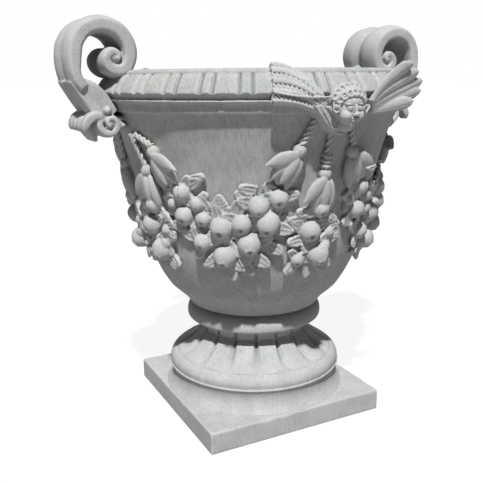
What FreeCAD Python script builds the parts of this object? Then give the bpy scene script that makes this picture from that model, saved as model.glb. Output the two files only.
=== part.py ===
import FreeCAD, Part
import math
import os
from types import SimpleNamespace

import Sketcher
from FreeCAD import Placement, Rotation, Vector

# A footed garden urn in cast concrete, in millimetres. +Z is up and the origin is the middle of the
# plinth's underside. The masks face -Y and +Y, and the handles stand at -X and +X.

SIZES = {
    # Plinth, mortar beds and the drain way down the middle
    "plinth_side": 400,
    "plinth_height": 45,
    "plinth_edge": 3,
    "bed_thickness": 2,
    "bed_inset": 1,
    "drain_radius": 16,
    "drain_wall": 3,
    "drain_lift": 5,
    "drain_rise": 25,
    "drain_play": 6,
    "loose_fit": 0.3,
    # Foot: drum, rounded shoulder and a slope of tongues up to the neck
    "drum_radius": 190,
    "drum_height": 46,
    "shoulder_radius": 188,
    "shoulder_height": 29,
    "slope_radius": 168,
    "slope_height": 45,
    "neck_radius": 114,
    "neck_height": 5,
    "flute_radius": 10,
    "flute_depth": 5,
    "flute_turn": 3,
    # Neck ring under the bowl
    "ring_base_radius": 118,
    "ring_radius": 146.5,
    "ring_height": 62,
    "ring_top_radius": 130,
    "seat_pin_circle": 82,
    "seat_pin_radius": 8,
    "seat_pin_depth": 34,
    # Bowl: foot, haunch, belly and throat stack up from its seat, rim, fillet and collar down from its
    # top, each with its own height, and the wall between throat and collar takes up the rest
    "bowl_height": 489,
    "bowl_foot_radius": 145,
    "bowl_foot_height": 9,
    "haunch_radius": 196,
    "haunch_height": 56,
    "belly_radius": 232,
    "belly_height": 82,
    "throat_radius": 262,
    "throat_height": 167,
    "collar_radius": 297,
    "collar_height": 19,
    "fillet_radius": 308,
    "fillet_height": 14,
    "rim_radius": 320.5,
    "rim_height": 42,
    "rim_top_radius": 287,
    "rim_top_drop": 4,
    "mouth_radius": 244,
    "wall_thickness": 38,
    "floor_thickness": 52,
    # Scroll handles, reaches counted from the urn's axis, the arm's from the scroll's middle, and
    # heights from the rim's top
    "handle_width": 124,
    "scroll_reach": 328,
    "scroll_rise": 28,
    "scroll_radius": 67,
    "scroll_band": 32,
    "volute_radius": 22,
    "arm_reach": 63,
    "curl_reach": 322,
    "curl_drop": 97,
    "curl_radius": 27,
    "handle_pin_radius": 6,
    "handle_pin_length": 56,
    # Mask, wings and apron
    "head_reach": 329,
    "head_drop": 57,
    "head_radius": 27,
    "wing_start": 6,
    "wing_end": 22.5,
    "wing_thickness": 9,
    "wing_rise": 8,
    "wing_drop": 59,
    "apron_reach": 341,
    "apron_half_width": 58,
    "apron_drop": 104,
    "apron_height": 43,
    # Swags and drops, heights from the bowl's seat
    "swag_turn": 40,
    "swag_half_angle": 28.5,
    "swag_knob_height": 351,
    "swag_depth": 228,
    "fruit_radius": 18,
    "leaf_thickness": 11,
    "husk_radius": 15,
    "husk_length": 64,
    "knob_radius": 10.5,
    "drop_turn": 76,
    "drop_knob_height": 309,
    "drop_depth": 190,
    "drop_half_width": 40,
    "rope_radius": 6,
    "swag_rope_height": 404,
    "drop_rope_height": 389,
    "handle_rope_height": 376,
    "handle_rope_turn": 79,
    # Bed of slurry behind each ornament
    "bed_gap": 0.3,
    "cut_overrun": 20,
}

FLUTE_COUNT = 16
SEAT_PIN_COUNT = 3
FEATHER_COUNT = 5
HALF_TURN = 180
QUARTER_TURN = 90

doc = FreeCAD.newDocument("garden_urn")
sheet = doc.addObject("Spreadsheet::Sheet", "Sizes")
for row, (alias, value) in enumerate(SIZES.items(), 1):
    sheet.set(f"A{row}", alias)
    sheet.set(f"B{row}", str(value))
    sheet.setAlias(f"B{row}", alias)
doc.recompute()


class Size(float):
    """A number together with the expression over the sheet that gives it."""

    def __new__(cls, value, text):
        size = super().__new__(cls, value)
        size.text = text
        return size

    def joined(self, sign, value, other):
        return Size(value, f"({self.text} {sign} {written(other)})")

    def __add__(self, other):
        return self.joined("+", float(self) + float(other), other)

    def __sub__(self, other):
        return self.joined("-", float(self) - float(other), other)

    def __mul__(self, other):
        return self.joined("*", float(self) * float(other), other)

    def __truediv__(self, other):
        return self.joined("/", float(self) / float(other), other)


def written(term):
    """The text of a term in an expression."""
    return term.text if isinstance(term, Size) else f"({float(term)!r})"


def root_of_squares(first, second):
    """Length of the diagonal of two sizes."""
    text = f"sqrt(({written(first)})^2 + ({written(second)})^2)"
    return Size(math.hypot(first, second), text)


def bind(feature, **sizes):
    """Tie properties of a feature to the sheet."""
    for name, size in sizes.items():
        feature.setExpression(name, size.text)


s = SimpleNamespace(**{alias: Size(sheet.get(alias), f"Sizes.{alias}") for alias in SIZES})

# Levels of the stack, from the ground up
foot_base = s.plinth_height + s.bed_thickness
drum_top = foot_base + s.drum_height
shoulder_top = drum_top + s.shoulder_height
slope_top = shoulder_top + s.slope_height
foot_top = slope_top + s.neck_height
ring_base = foot_top + s.bed_thickness
seat = ring_base + s.ring_height
haunch_level = seat + s.bowl_foot_height + s.haunch_height
belly_level = haunch_level + s.belly_height
throat_level = belly_level + s.throat_height
rim_top = seat + s.bowl_height
rim_level = rim_top - s.rim_height
fillet_level = rim_level - s.fillet_height
collar_level = fillet_level - s.collar_height
drain_bore = s.drain_radius + s.loose_fit


def origin_plane(body, role):
    return next(plane for plane in body.Origin.OriginFeatures if plane.Role == role)


def sketch_on(body, name, role):
    sketch = body.newObject("Sketcher::SketchObject", name)
    sketch.AttachmentSupport = [(origin_plane(body, role), "")]
    sketch.MapMode = "FlatFace"
    return sketch


def bowed_middle(start, end, bow):
    """Middle of an arc that leaves its chord to the right by bow times the chord's length."""
    chord = end - start
    return (start + end) / 2 + Vector(chord.y, -chord.x, 0) * bow


def draw_outline(sketch, outline):
    """Closed outline of (across, up, bow): bow 0 is a line to the next point, else an arc."""
    corners = [Vector(across, up, 0) for across, up, bow in outline]
    count = len(outline)
    first_end = []
    last_end = []
    for index, (across, up, bow) in enumerate(outline):
        start, end = corners[index], corners[(index + 1) % count]
        if bow:
            sketch.addGeometry(Part.Arc(start, bowed_middle(start, end, bow), end))
        else:
            sketch.addGeometry(Part.LineSegment(start, end))
        first_end.append(1 if bow >= 0 else 2)
        last_end.append(2 if bow >= 0 else 1)
    for index, (across, up, bow) in enumerate(outline):
        following = (index + 1) % count
        sketch.addConstraint(Sketcher.Constraint(
            "Coincident", index, last_end[index], following, first_end[following]))
        place = (-1, 1, index, first_end[index])
        for kind, size in (("DistanceX", across), ("DistanceY", up)):
            number = sketch.addConstraint(Sketcher.Constraint(kind, *place, float(size)))
            sketch.setExpression(f"Constraints[{number}]", size.text)
        if bow:
            next_across, next_up, next_bow = outline[following]
            chord = root_of_squares(next_across - across, next_up - up)
            radius = chord * (1 / (8 * abs(bow)) + abs(bow) / 2)
            number = sketch.addConstraint(Sketcher.Constraint("Radius", index, float(radius)))
            sketch.setExpression(f"Constraints[{number}]", radius.text)


def turned(name, outline):
    """A piece turned about the urn's axis."""
    body = doc.addObject("PartDesign::Body", name)
    sketch = sketch_on(body, f"{name}_profile", "XZ_Plane")
    draw_outline(sketch, outline)
    turn = body.newObject("PartDesign::Revolution", f"{name}_turn")
    turn.Profile = sketch
    turn.ReferenceAxis = (sketch, ["V_Axis"])
    turn.Angle = 360
    doc.recompute()
    return body


def cut(label, base, tools):
    """A piece with other solids cut out of it."""
    cutters = doc.addObject("Part::Feature", f"{label}_cutters")
    cutters.Shape = Part.makeCompound(tools)
    result = doc.addObject("Part::Cut", label)
    result.Base = base
    result.Tool = cutters
    doc.recompute()
    return result


def piece(label, shape, turn=0.0):
    """A piece whose shape is set here, turned about the urn's axis into its place."""
    feature = doc.addObject("Part::Feature", label)
    feature.Shape = shape
    feature.Placement = Placement(Vector(), Rotation(Vector(0, 0, 1), turn))
    return feature


def about_axis(shape, turn):
    """A copy of a shape, turned about the urn's axis."""
    copy = shape.copy()
    copy.rotate(Vector(), Vector(0, 0, 1), turn)
    return copy


def on_urn(angle, reach, height):
    """Point at an angle from the front, a reach from the axis and a height."""
    turn = math.radians(angle)
    return Vector(reach * math.sin(turn), -reach * math.cos(turn), height)


def rod(radius, start, end):
    return Part.makeCylinder(radius, (end - start).Length, start, end - start)


# Plinth: a square slab with the drain way through it
def make_plinth():
    body = doc.addObject("PartDesign::Body", "plinth_body")
    sketch = sketch_on(body, "plinth_square", "XY_Plane")
    half = s.plinth_side / 2
    corners = [Vector(-half, -half), Vector(half, -half), Vector(half, half), Vector(-half, half)]
    for index, corner in enumerate(corners):
        sketch.addGeometry(Part.LineSegment(corner, corners[(index + 1) % len(corners)]))
    for index in range(len(corners)):
        following = (index + 1) % len(corners)
        sketch.addConstraint(Sketcher.Constraint("Coincident", index, 2, following, 1))
        direction = "Horizontal" if index % 2 == 0 else "Vertical"
        sketch.addConstraint(Sketcher.Constraint(direction, index))
    sketch.addConstraint(Sketcher.Constraint("Symmetric", 0, 1, 2, 1, -1, 1))
    for kind, edge in (("DistanceX", 0), ("DistanceY", 1)):
        number = sketch.addConstraint(
            Sketcher.Constraint(kind, edge, 1, edge, 2, float(s.plinth_side)))
        sketch.setExpression(f"Constraints[{number}]", s.plinth_side.text)
    circle = sketch.addGeometry(Part.Circle(Vector(), Vector(0, 0, 1), drain_bore))
    sketch.addConstraint(Sketcher.Constraint("Coincident", circle, 3, -1, 1))
    number = sketch.addConstraint(Sketcher.Constraint("Radius", circle, float(drain_bore)))
    sketch.setExpression(f"Constraints[{number}]", drain_bore.text)
    slab = body.newObject("PartDesign::Pad", "plinth_slab")
    slab.Profile = sketch
    bind(slab, Length=s.plinth_height)
    doc.recompute()
    upper = [f"Edge{number}" for number, edge in enumerate(slab.Shape.Edges, 1)
             if isinstance(edge.Curve, Part.Line) and edge.BoundBox.ZMax > s.plinth_edge]
    arris = body.newObject("PartDesign::Chamfer", "plinth_arris")
    arris.Base = (slab, upper)
    bind(arris, Size=s.plinth_edge)
    body.Label = "plinth"
    return body


def make_bed(label, base, radius):
    """A flat mortar joint round the drain way."""
    body = turned(f"{label}_body", [
        (drain_bore, base, 0),
        (radius, base, 0),
        (radius, base + s.bed_thickness, 0),
        (drain_bore, base + s.bed_thickness, 0),
    ])
    body.Label = label
    return body


# Foot: turned, then fluted between the tongues of its slope
SLOPE_BOW_SHARE = -0.07


def make_flute():
    """A groove that follows the slope's hollow, deepest at the neck, running out above the ledge."""
    run_out_share = 0.2
    middle_depth_share = 0.7
    low = Vector(s.slope_radius, 0, shoulder_top)
    high = Vector(s.neck_radius, 0, slope_top)
    chord = high - low
    out = Vector(chord.z, 0, -chord.x).normalize()
    sag = chord.Length * SLOPE_BOW_SHARE
    start = low + out * (s.flute_radius * (1 + run_out_share))
    middle = (low + high) / 2 + out * (sag + s.flute_radius - s.flute_depth * middle_depth_share)
    end = high + out * (s.flute_radius - s.flute_depth)
    arc = Part.Arc(start, middle, end)
    along = arc.tangent(arc.FirstParameter)[0]
    ring = Part.Wire(Part.Circle(start, along, s.flute_radius).toShape())
    return Part.Wire(arc.toShape()).makePipeShell([ring], True, False)


def make_foot():
    drum_bow_share = -0.05
    shoulder_bow_share = 0.14
    ledge_share = 0.2
    ledge = (s.shoulder_radius - s.slope_radius) * ledge_share
    body = turned("foot_body", [
        (drain_bore, foot_base, 0),
        (s.drum_radius, foot_base, drum_bow_share),
        (s.drum_radius, drum_top, 0),
        (s.shoulder_radius, drum_top, shoulder_bow_share),
        (s.slope_radius + ledge, shoulder_top, 0),
        (s.slope_radius, shoulder_top, SLOPE_BOW_SHARE),
        (s.neck_radius, slope_top, 0),
        (s.neck_radius, foot_top, 0),
        (drain_bore, foot_top, 0),
    ])
    flute = make_flute()
    step = 360 / FLUTE_COUNT
    first = -QUARTER_TURN - s.flute_turn
    flutes = [about_axis(flute, first + step * index) for index in range(FLUTE_COUNT)]
    return cut("foot", body, flutes)


def seat_pins(grow):
    """The dowels between neck ring and bowl, grown all round."""
    pins = []
    for index in range(SEAT_PIN_COUNT):
        place = on_urn(360 * index / SEAT_PIN_COUNT, s.seat_pin_circle, seat)
        reach = Vector(0, 0, s.seat_pin_depth + grow)
        pins.append(rod(s.seat_pin_radius + grow, place - reach, place + reach))
    return pins


# Neck ring: a flare, a round bead and a flat top that carries the bowl
def make_neck_ring():
    flare_share = 0.4
    flare_reach_share = 0.72
    flare_bow_share = -0.12
    bead_share = 0.5
    reach = s.ring_radius - s.ring_base_radius
    flare_radius = s.ring_base_radius + reach * flare_reach_share
    bead_base = ring_base + s.ring_height * flare_share
    bead_height = s.ring_height * bead_share
    bead_bow_share = float(reach * (1 - flare_reach_share) / bead_height)
    body = turned("neck_ring_body", [
        (drain_bore, ring_base, 0),
        (s.ring_base_radius, ring_base, flare_bow_share),
        (flare_radius, bead_base, bead_bow_share),
        (flare_radius, bead_base + bead_height, 0),
        (s.ring_top_radius, seat, 0),
        (drain_bore, seat, 0),
    ])
    return cut("neck_ring", body, seat_pins(s.loose_fit))


def make_drain_tube():
    bottom = s.drain_lift
    top = seat + s.drain_rise
    body = turned("drain_tube_body", [
        (s.drain_radius - s.drain_wall, bottom, 0),
        (s.drain_radius, bottom, 0),
        (s.drain_radius, top, 0),
        (s.drain_radius - s.drain_wall, top, 0),
    ])
    body.Label = "drain_tube"
    return body


# Outer line of the bowl from its seat to the rim's top, as (radius, height, bow)
def bowl_line():
    haunch_bow_share = 0.05
    belly_bow_share = 0.028
    throat_bow_share = -0.028
    cyma_bow_share = -0.16
    rim_bow_share = 0.1
    splay_share = 0.33
    return [
        (s.ring_top_radius, seat, 0),
        (s.bowl_foot_radius, seat + s.bowl_foot_height * splay_share, 0),
        (s.bowl_foot_radius, seat + s.bowl_foot_height, haunch_bow_share),
        (s.haunch_radius, haunch_level, belly_bow_share),
        (s.belly_radius, belly_level, 0),
        (s.throat_radius, throat_level, throat_bow_share),
        (s.collar_radius, collar_level, cyma_bow_share),
        (s.fillet_radius, fillet_level, 0),
        (s.rim_radius, rim_level, rim_bow_share),
        (s.rim_top_radius, rim_top - s.rim_top_drop, 0),
    ]


def wall_reach(height):
    """Radius of the bowl's outer line at a height."""
    line = bowl_line()
    for (low, bottom, bow), (high, top, next_bow) in zip(line, line[1:]):
        if bottom <= height <= top and top > bottom:
            share = (height - bottom) / (top - bottom)
            bulge = 4 * share * (1 - share) * bow
            return float(low + (high - low) * share + (top - bottom) * bulge)
    return float(line[-1][0])


def make_bowl_body():
    cavity_bow_share = -0.12
    floor = seat + s.floor_thickness
    drain = s.drain_radius + s.drain_play
    inside = [
        (s.rim_top_radius - s.rim_top_drop, rim_top, 0),
        (s.mouth_radius, rim_top, 0),
        (s.throat_radius - s.wall_thickness, throat_level, 0),
        (s.belly_radius - s.wall_thickness, belly_level, cavity_bow_share),
        (s.bowl_foot_radius - s.wall_thickness, floor, 0),
        (drain, floor, 0),
        (drain, seat, 0),
    ]
    return turned("bowl_body", bowl_line() + inside)


def make_envelope():
    """The filled bowl, grown by the slurry bed, which every ornament is cut back to."""
    gap = s.bed_gap
    corners = [(Vector(radius + gap, 0, height), bow) for radius, height, bow in bowl_line()]
    corners.append((Vector(s.rim_top_radius - s.rim_top_drop + gap, 0, rim_top + gap), 0))
    edges = []
    for (start, bow), (end, next_bow) in zip(corners, corners[1:]):
        chord = end - start
        middle = (start + end) / 2 + Vector(chord.z, 0, -chord.x) * bow
        edges.append(Part.Arc(start, middle, end).toShape() if bow
                     else Part.LineSegment(start, end).toShape())
    top = Vector(0, 0, corners[-1][0].z)
    bottom = Vector(0, 0, corners[0][0].z)
    for start, end in ((corners[-1][0], top), (top, bottom), (bottom, corners[0][0])):
        edges.append(Part.LineSegment(start, end).toShape())
    return Part.Face(Part.Wire(edges)).revolve(Vector(), Vector(0, 0, 1), 360)


envelope = make_envelope()


def seated(shape, others):
    """An ornament cut back to the bowl's face and to the pieces that stand in it."""
    seated_shape = shape.cut(envelope)
    for other in others:
        seated_shape = seated_shape.cut(other)
    return seated_shape


# Scroll handle: a broad band that rolls into a volute above the rim and a curl under it
def scroll_outline():
    """Side view of the right handle: up its arm, over the scroll, and down to the curl."""
    quarter_share = 0.2071
    volute_bow_share = 0.16
    throat_bow_share = -0.2
    arm_bow_share = 0.05
    sway_share = -0.08
    curl_bow_shares = (0.18, 0.22, -0.16, -0.06)
    tail_share = 0.7
    third_share = 0.33
    waist_share = 0.75
    waist_drop_share = 0.25
    middle = s.scroll_reach
    centre = rim_top + s.scroll_rise
    outer = s.scroll_radius
    inner = outer - s.scroll_band
    volute = middle - s.volute_radius
    volute_level = centre - s.volute_radius * third_share
    tail = volute - s.volute_radius * tail_share
    tail_level = volute_level + s.volute_radius * third_share
    arm_top = rim_top - s.scroll_band / 2
    curl_level = rim_top - s.curl_drop
    curl_in, curl_out = s.curl_reach - s.curl_radius, s.curl_reach + s.curl_radius
    return [
        (middle + s.arm_reach, arm_top, arm_bow_share),
        (middle + outer, centre, quarter_share),
        (middle, centre + outer, quarter_share),
        (middle - outer, centre, quarter_share),
        (volute, rim_top - s.volute_radius / 2, quarter_share),
        (volute + s.volute_radius, volute_level, quarter_share),
        (volute, volute_level + s.volute_radius, volute_bow_share),
        (tail, tail_level, throat_bow_share),
        (middle, centre + inner, -quarter_share),
        (middle + inner, centre, sway_share),
        (s.rim_radius + s.scroll_band * waist_share, arm_top - s.scroll_band * waist_drop_share, 0),
        (s.rim_radius - s.scroll_band, rim_level, 0),
        (s.collar_radius - s.curl_radius, curl_level + s.curl_radius, 0),
        (curl_in, curl_level, curl_bow_shares[0]),
        (s.curl_reach, curl_level - s.curl_radius, curl_bow_shares[1]),
        (curl_out, curl_level, curl_bow_shares[2]),
        (curl_out, curl_level + s.curl_radius, curl_bow_shares[3]),
    ]


def make_handle(label, turn):
    body = doc.addObject("PartDesign::Body", f"{label}_body")
    sketch = sketch_on(body, f"{label}_scroll", "XZ_Plane")
    draw_outline(sketch, scroll_outline())
    pad = body.newObject("PartDesign::Pad", f"{label}_width")
    pad.Profile = sketch
    pad.SideType = "Symmetric"
    bind(pad, Length=s.handle_width)
    doc.recompute()
    body.Placement = Placement(Vector(), Rotation(Vector(0, 0, 1), turn))
    bores = [about_axis(pin, turn) for pin in handle_pins(s.loose_fit)]
    ropes = [about_axis(rope, HALF_TURN + turn) for rope in handle_ropes(s.bed_gap)]
    return cut(label, body, [envelope] + bores + ropes)


def handle_pins(grow):
    """Dowels of the right handle: two down into the rim, two into the wall behind the curl."""
    level_share = 0.33
    side_share = 0.25
    half = s.handle_pin_length / 2 + grow
    radius = s.handle_pin_radius + grow
    side = s.handle_width * side_share
    upright = s.scroll_reach - s.volute_radius * 2
    level = rim_top - s.curl_drop + s.curl_radius * level_share
    up, out = Vector(0, 0, half), Vector(half, 0, 0)
    pins = []
    for across in (-side, side):
        foot = Vector(upright, across, rim_top)
        face = Vector(wall_reach(level), across, level)
        pins.append(rod(radius, foot - up, foot + up))
        pins.append(rod(radius, face - out, face + out))
    return pins


# Mask: a child's head, round-cheeked, under a wreath of curls.
# Each form is (across, forward, up, radius) in shares of the head's radius.
HEAD_FORM_SHARES = (
    (0, -0.15, 0.22, 1.0),
    (0, 0.12, -0.12, 0.88),
    (-0.4, 0.42, -0.38, 0.46),
    (0.4, 0.42, -0.38, 0.46),
    (0, 0.42, -0.82, 0.32),
    (0, 0.98, -0.2, 0.16),
)
CURL_COUNT = 7
CURL_STEP = 30


def head_forms(grow):
    curl_ring_shares = (0.86, 0.2, 0.28, 0.3)
    ring_share, forward_share, up_share, curl_share = curl_ring_shares
    level = rim_top - s.head_drop
    size = s.head_radius
    shares = list(HEAD_FORM_SHARES)
    for curl in range(CURL_COUNT):
        angle = math.radians(CURL_STEP * curl)
        across, up = ring_share * math.cos(angle), up_share + ring_share * math.sin(angle)
        shares.append((across, forward_share, up, curl_share))
    forms = []
    for across, forward, up, radius in shares:
        place = Vector(size * across, -s.head_reach - size * forward, level + size * up)
        forms.append(Part.makeSphere(size * radius + grow, place))
    return forms[0].multiFuse(forms[1:])


# Wing: overlapping feathers that fan out over the rim's face.
# Each section is (share of the way out, share of the rise from root to tip).
WING_SECTION_SHARES = ((0, 0), (0.3, 0.5), (0.62, 0.86), (1, 1))


def wing_section(angle, low, high, thickness):
    """Section of the wing at an angle: one slanted step for each feather."""
    under_share = 0.45
    points = []
    step = (high - low) / FEATHER_COUNT
    for feather in range(FEATHER_COUNT):
        for share, lift in ((0, thickness), (1, thickness * under_share)):
            height = low + step * (feather + share)
            reach = wall_reach(min(height, rim_top - s.rim_top_drop))
            points.append(on_urn(angle, reach + lift, height))
    inside = s.rim_top_radius - s.rim_top_drop
    points.append(on_urn(angle, inside, high))
    points.append(on_urn(angle, inside, low))
    return Part.makePolygon(points + points[:1])


def make_wing(side):
    """Wing on the side -1 or 1 of the front mask."""
    root_share = 0.42
    low = rim_top - s.wing_drop
    root_high = low + (s.wing_drop + s.wing_rise) * root_share
    tip_high = rim_top + s.wing_rise
    sections = []
    for out_share, rise_share in WING_SECTION_SHARES:
        angle = s.wing_start + (s.wing_end - s.wing_start) * out_share
        high = root_high + (tip_high - root_high) * rise_share
        sections.append(wing_section(side * angle, low, high, s.wing_thickness))
    return Part.makeLoft(sections, True, True)


# Apron: the rim's lower moulding, drawn down to a point under the mask.
# Each section is shares of (drop, half width, reach at its sides, reach at its middle).
APRON_SECTION_SHARES = (
    (0, 1, 0.62, 1),
    (0.34, 0.74, 0.54, 0.97),
    (0.68, 0.46, 0.42, 0.84),
    (1, 0.16, 0.19, 0.52),
)


def make_apron():
    top = rim_top - s.apron_drop + s.apron_height
    inside = s.throat_radius
    depth = s.apron_reach - s.collar_radius
    sections = []
    for drop_share, width_share, side_share, reach_share in APRON_SECTION_SHARES:
        level = top - s.apron_height * drop_share
        half = s.apron_half_width * width_share
        tip = s.collar_radius + depth * reach_share
        side = s.collar_radius + depth * side_share
        left, right = Vector(-half, -side, level), Vector(half, -side, level)
        back_right, back_left = Vector(half, -inside, level), Vector(-half, -inside, level)
        arc = Part.Arc(left, Vector(0, -tip, level), right).toShape()
        lines = [(right, back_right), (back_right, back_left), (back_left, left)]
        sections.append(Part.Wire([arc] + [Part.LineSegment(*ends).toShape() for ends in lines]))
    return Part.makeLoft(sections, True, True)


# Swag: fruit on a crescent of leaves, hung from a husk and a knob at each end.
# Each fruit is (share of the half angle, share of the depth, share of the fruit's radius).
SWAG_FRUIT_SHARES = (
    (-0.59, 0.37, 1.1), (-0.82, 0.45, 0.55), (-0.62, 0.54, 0.97), (-0.39, 0.43, 0.86),
    (-0.33, 0.56, 0.78), (-0.05, 0.62, 1.06), (-0.36, 0.76, 0.88), (-0.02, 0.86, 1.12),
    (0.25, 0.59, 1.0), (0.36, 0.75, 1.14), (0.49, 0.44, 1.0), (0.63, 0.56, 1.2),
    (0.77, 0.38, 0.95),
)
DROP_FRUIT_SHARES = (
    (0.06, 0.34, 0.88), (-0.36, 0.57, 1.0), (0.66, 0.6, 0.6), (0.15, 0.81, 1.05), (-0.84, 0.86, 0.68),
)


def swag_place(angle_share, depth_share):
    """Angle from the swag's middle and height of a place on it."""
    return s.swag_half_angle * angle_share, seat + s.swag_knob_height - s.swag_depth * depth_share


def drop_place(across_share, depth_share):
    """Angle from the drop's middle and height of a place on it."""
    height = seat + s.drop_knob_height - s.drop_depth * depth_share
    across = s.drop_half_width * across_share
    return math.degrees(math.atan2(across, wall_reach(height))), height


def wall_skin(half_angle, thickness):
    """A layer of the bowl's outer face, between its foot and its collar."""
    line = bowl_line()[2:7]
    inner = [Vector(radius - thickness, 0, height) for radius, height, bow in line]
    outer = [Vector(radius + thickness, 0, height) for radius, height, bow in line]
    ring = inner + outer[::-1]
    face = Part.Face(Part.makePolygon(ring + ring[:1]))
    face.rotate(Vector(), Vector(0, 0, 1), -QUARTER_TURN - half_angle)
    return face.revolve(Vector(), Vector(0, 0, 1), 2 * half_angle)


def leaf_bed(outline):
    """A leaf-thick layer on the wall inside an outline of three-point arcs, seen from the front."""
    edges = [Part.Arc(*(Vector(across, 0, height) for across, height in arc)).toShape()
             for arc in outline]
    reach = Vector(0, -s.rim_radius - s.cut_overrun, 0)
    prism = Part.Face(Part.Wire(edges)).extrude(reach)
    spread_share = 1.2
    return wall_skin(s.swag_half_angle * spread_share, s.leaf_thickness).common(prism)


def fruit_ball(place, radius_share):
    """A round fruit, sunk a little into the wall, with its poles along its own radius."""
    angle, height = place
    sink_share = 0.45
    radius = s.fruit_radius * radius_share
    middle = on_urn(angle, wall_reach(height) + radius * sink_share, height)
    return Part.makeSphere(radius, middle, on_urn(angle, 1, 0))


def husk(top, bottom):
    """A bell-shaped husk from its narrow end to its mouth."""
    throat_share = 0.6
    return Part.makeCone(s.knob_radius * throat_share, s.husk_radius, s.husk_length, top, bottom - top)


def knob_point(place):
    proud_share = 0.6
    angle, height = place
    return on_urn(angle, wall_reach(height) + s.knob_radius * proud_share, height)


def knob_and_husk(knob_place, mouth_place):
    knob = knob_point(knob_place)
    return [Part.makeSphere(s.knob_radius, knob), husk(knob, knob_point(mouth_place))]


def make_swag():
    outer_share, horn_share, inner_share, side_share = 0.98, 0.85, 0.72, 0.72
    brow_drop_share, horn_drop_share, side_drop_share = 0.36, 0.2, 0.72
    mouth_shares = (0.84, 0.26)
    across = s.throat_radius * math.sin(math.radians(s.swag_half_angle))
    top = seat + s.swag_knob_height
    low = top - s.swag_depth
    horn = top - s.swag_depth * horn_drop_share
    left, right = (-across * outer_share, horn), (across * outer_share, horn)
    inner_left, inner_right = (-across * inner_share, horn), (across * inner_share, horn)
    side_level = top - s.swag_depth * side_drop_share
    tip_level = horn + s.leaf_thickness / 2
    bed = leaf_bed([
        (left, (-across * side_share, side_level), (0, low)),
        ((0, low), (across * side_share, side_level), right),
        (right, (across * horn_share, tip_level), inner_right),
        (inner_right, (0, top - s.swag_depth * brow_drop_share), inner_left),
        (inner_left, (-across * horn_share, tip_level), left),
    ])
    forms = [fruit_ball(swag_place(*shares[:2]), shares[2]) for shares in SWAG_FRUIT_SHARES]
    mouth_angle_share, mouth_depth_share = mouth_shares
    for side in (-1, 1):
        mouth = swag_place(side * mouth_angle_share, mouth_depth_share)
        forms += knob_and_husk(swag_place(side, 0), mouth)
    return bed.multiFuse(forms).cut(envelope)


def make_drop():
    shoulder_share, width_share, widest_share, top_drop_share = 0.5, 0.69, 0.22, 0.2
    mouth_shares = (0, 0.25)
    half = s.drop_half_width
    bulge = half * width_share
    low = seat + s.drop_knob_height - s.drop_depth
    top = seat + s.drop_knob_height - s.drop_depth * top_drop_share
    widest = low + s.drop_depth * widest_share
    left, right = (-half * shoulder_share, top), (half * shoulder_share, top)
    bed = leaf_bed([
        ((0, low), (bulge, widest), right),
        (right, (0, top + s.leaf_thickness), left),
        (left, (-bulge, widest), (0, low)),
    ])
    forms = [fruit_ball(drop_place(*shares[:2]), shares[2]) for shares in DROP_FRUIT_SHARES]
    forms += knob_and_husk(drop_place(0, 0), drop_place(*mouth_shares))
    return bed.multiFuse(forms).cut(envelope)


# Ropes: straight carved lengths from the knobs up to the apron or the handle's curl
def rope(knob_place, top_angle, top_height, grow):
    knob = knob_point(knob_place)
    top = on_urn(top_angle, wall_reach(top_height) + s.rope_radius / 2, top_height)
    start = knob + (top - knob).normalize() * (s.knob_radius + s.bed_gap - grow)
    return rod(s.rope_radius + grow, start, top)


def front_ropes(grow):
    lean_share = 0.6
    knob_angle = s.swag_turn - s.swag_half_angle
    knob_level = seat + s.swag_knob_height
    top = seat + s.swag_rope_height
    ropes = [rope((side * knob_angle, knob_level), side * knob_angle * lean_share, top, grow)
             for side in (-1, 1)]
    ropes.append(rope((0, seat + s.drop_knob_height), 0, seat + s.drop_rope_height, grow))
    return ropes


def handle_ropes(grow):
    """Ropes at the left handle, two on each side of it, as angles from the front."""
    spread_share = 1.3
    spread = math.degrees(s.rope_radius / s.throat_radius) * spread_share
    top = seat + s.handle_rope_height
    ropes = []
    for side in (-1, 1):
        meeting = QUARTER_TURN - s.handle_rope_turn
        for knob_turn, knob_height, lean in (
                (s.swag_turn + s.swag_half_angle, s.swag_knob_height, spread),
                (s.drop_turn, s.drop_knob_height, -spread)):
            knob_place = (side * (QUARTER_TURN - knob_turn) - QUARTER_TURN, seat + knob_height)
            ropes.append(rope(knob_place, side * (meeting + lean) - QUARTER_TURN, top, grow))
    return ropes


SWAG_TURNS = {
    "swag_front_left": -float(s.swag_turn),
    "swag_front_right": s.swag_turn,
    "swag_back_left": s.swag_turn - HALF_TURN,
    "swag_back_right": HALF_TURN - float(s.swag_turn),
}
DROP_TURNS = {
    "drop_front": 0,
    "drop_back": HALF_TURN,
    "drop_left_front": -float(s.drop_turn),
    "drop_left_back": s.drop_turn - HALF_TURN,
    "drop_right_front": s.drop_turn,
    "drop_right_back": HALF_TURN - float(s.drop_turn),
}


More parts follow.
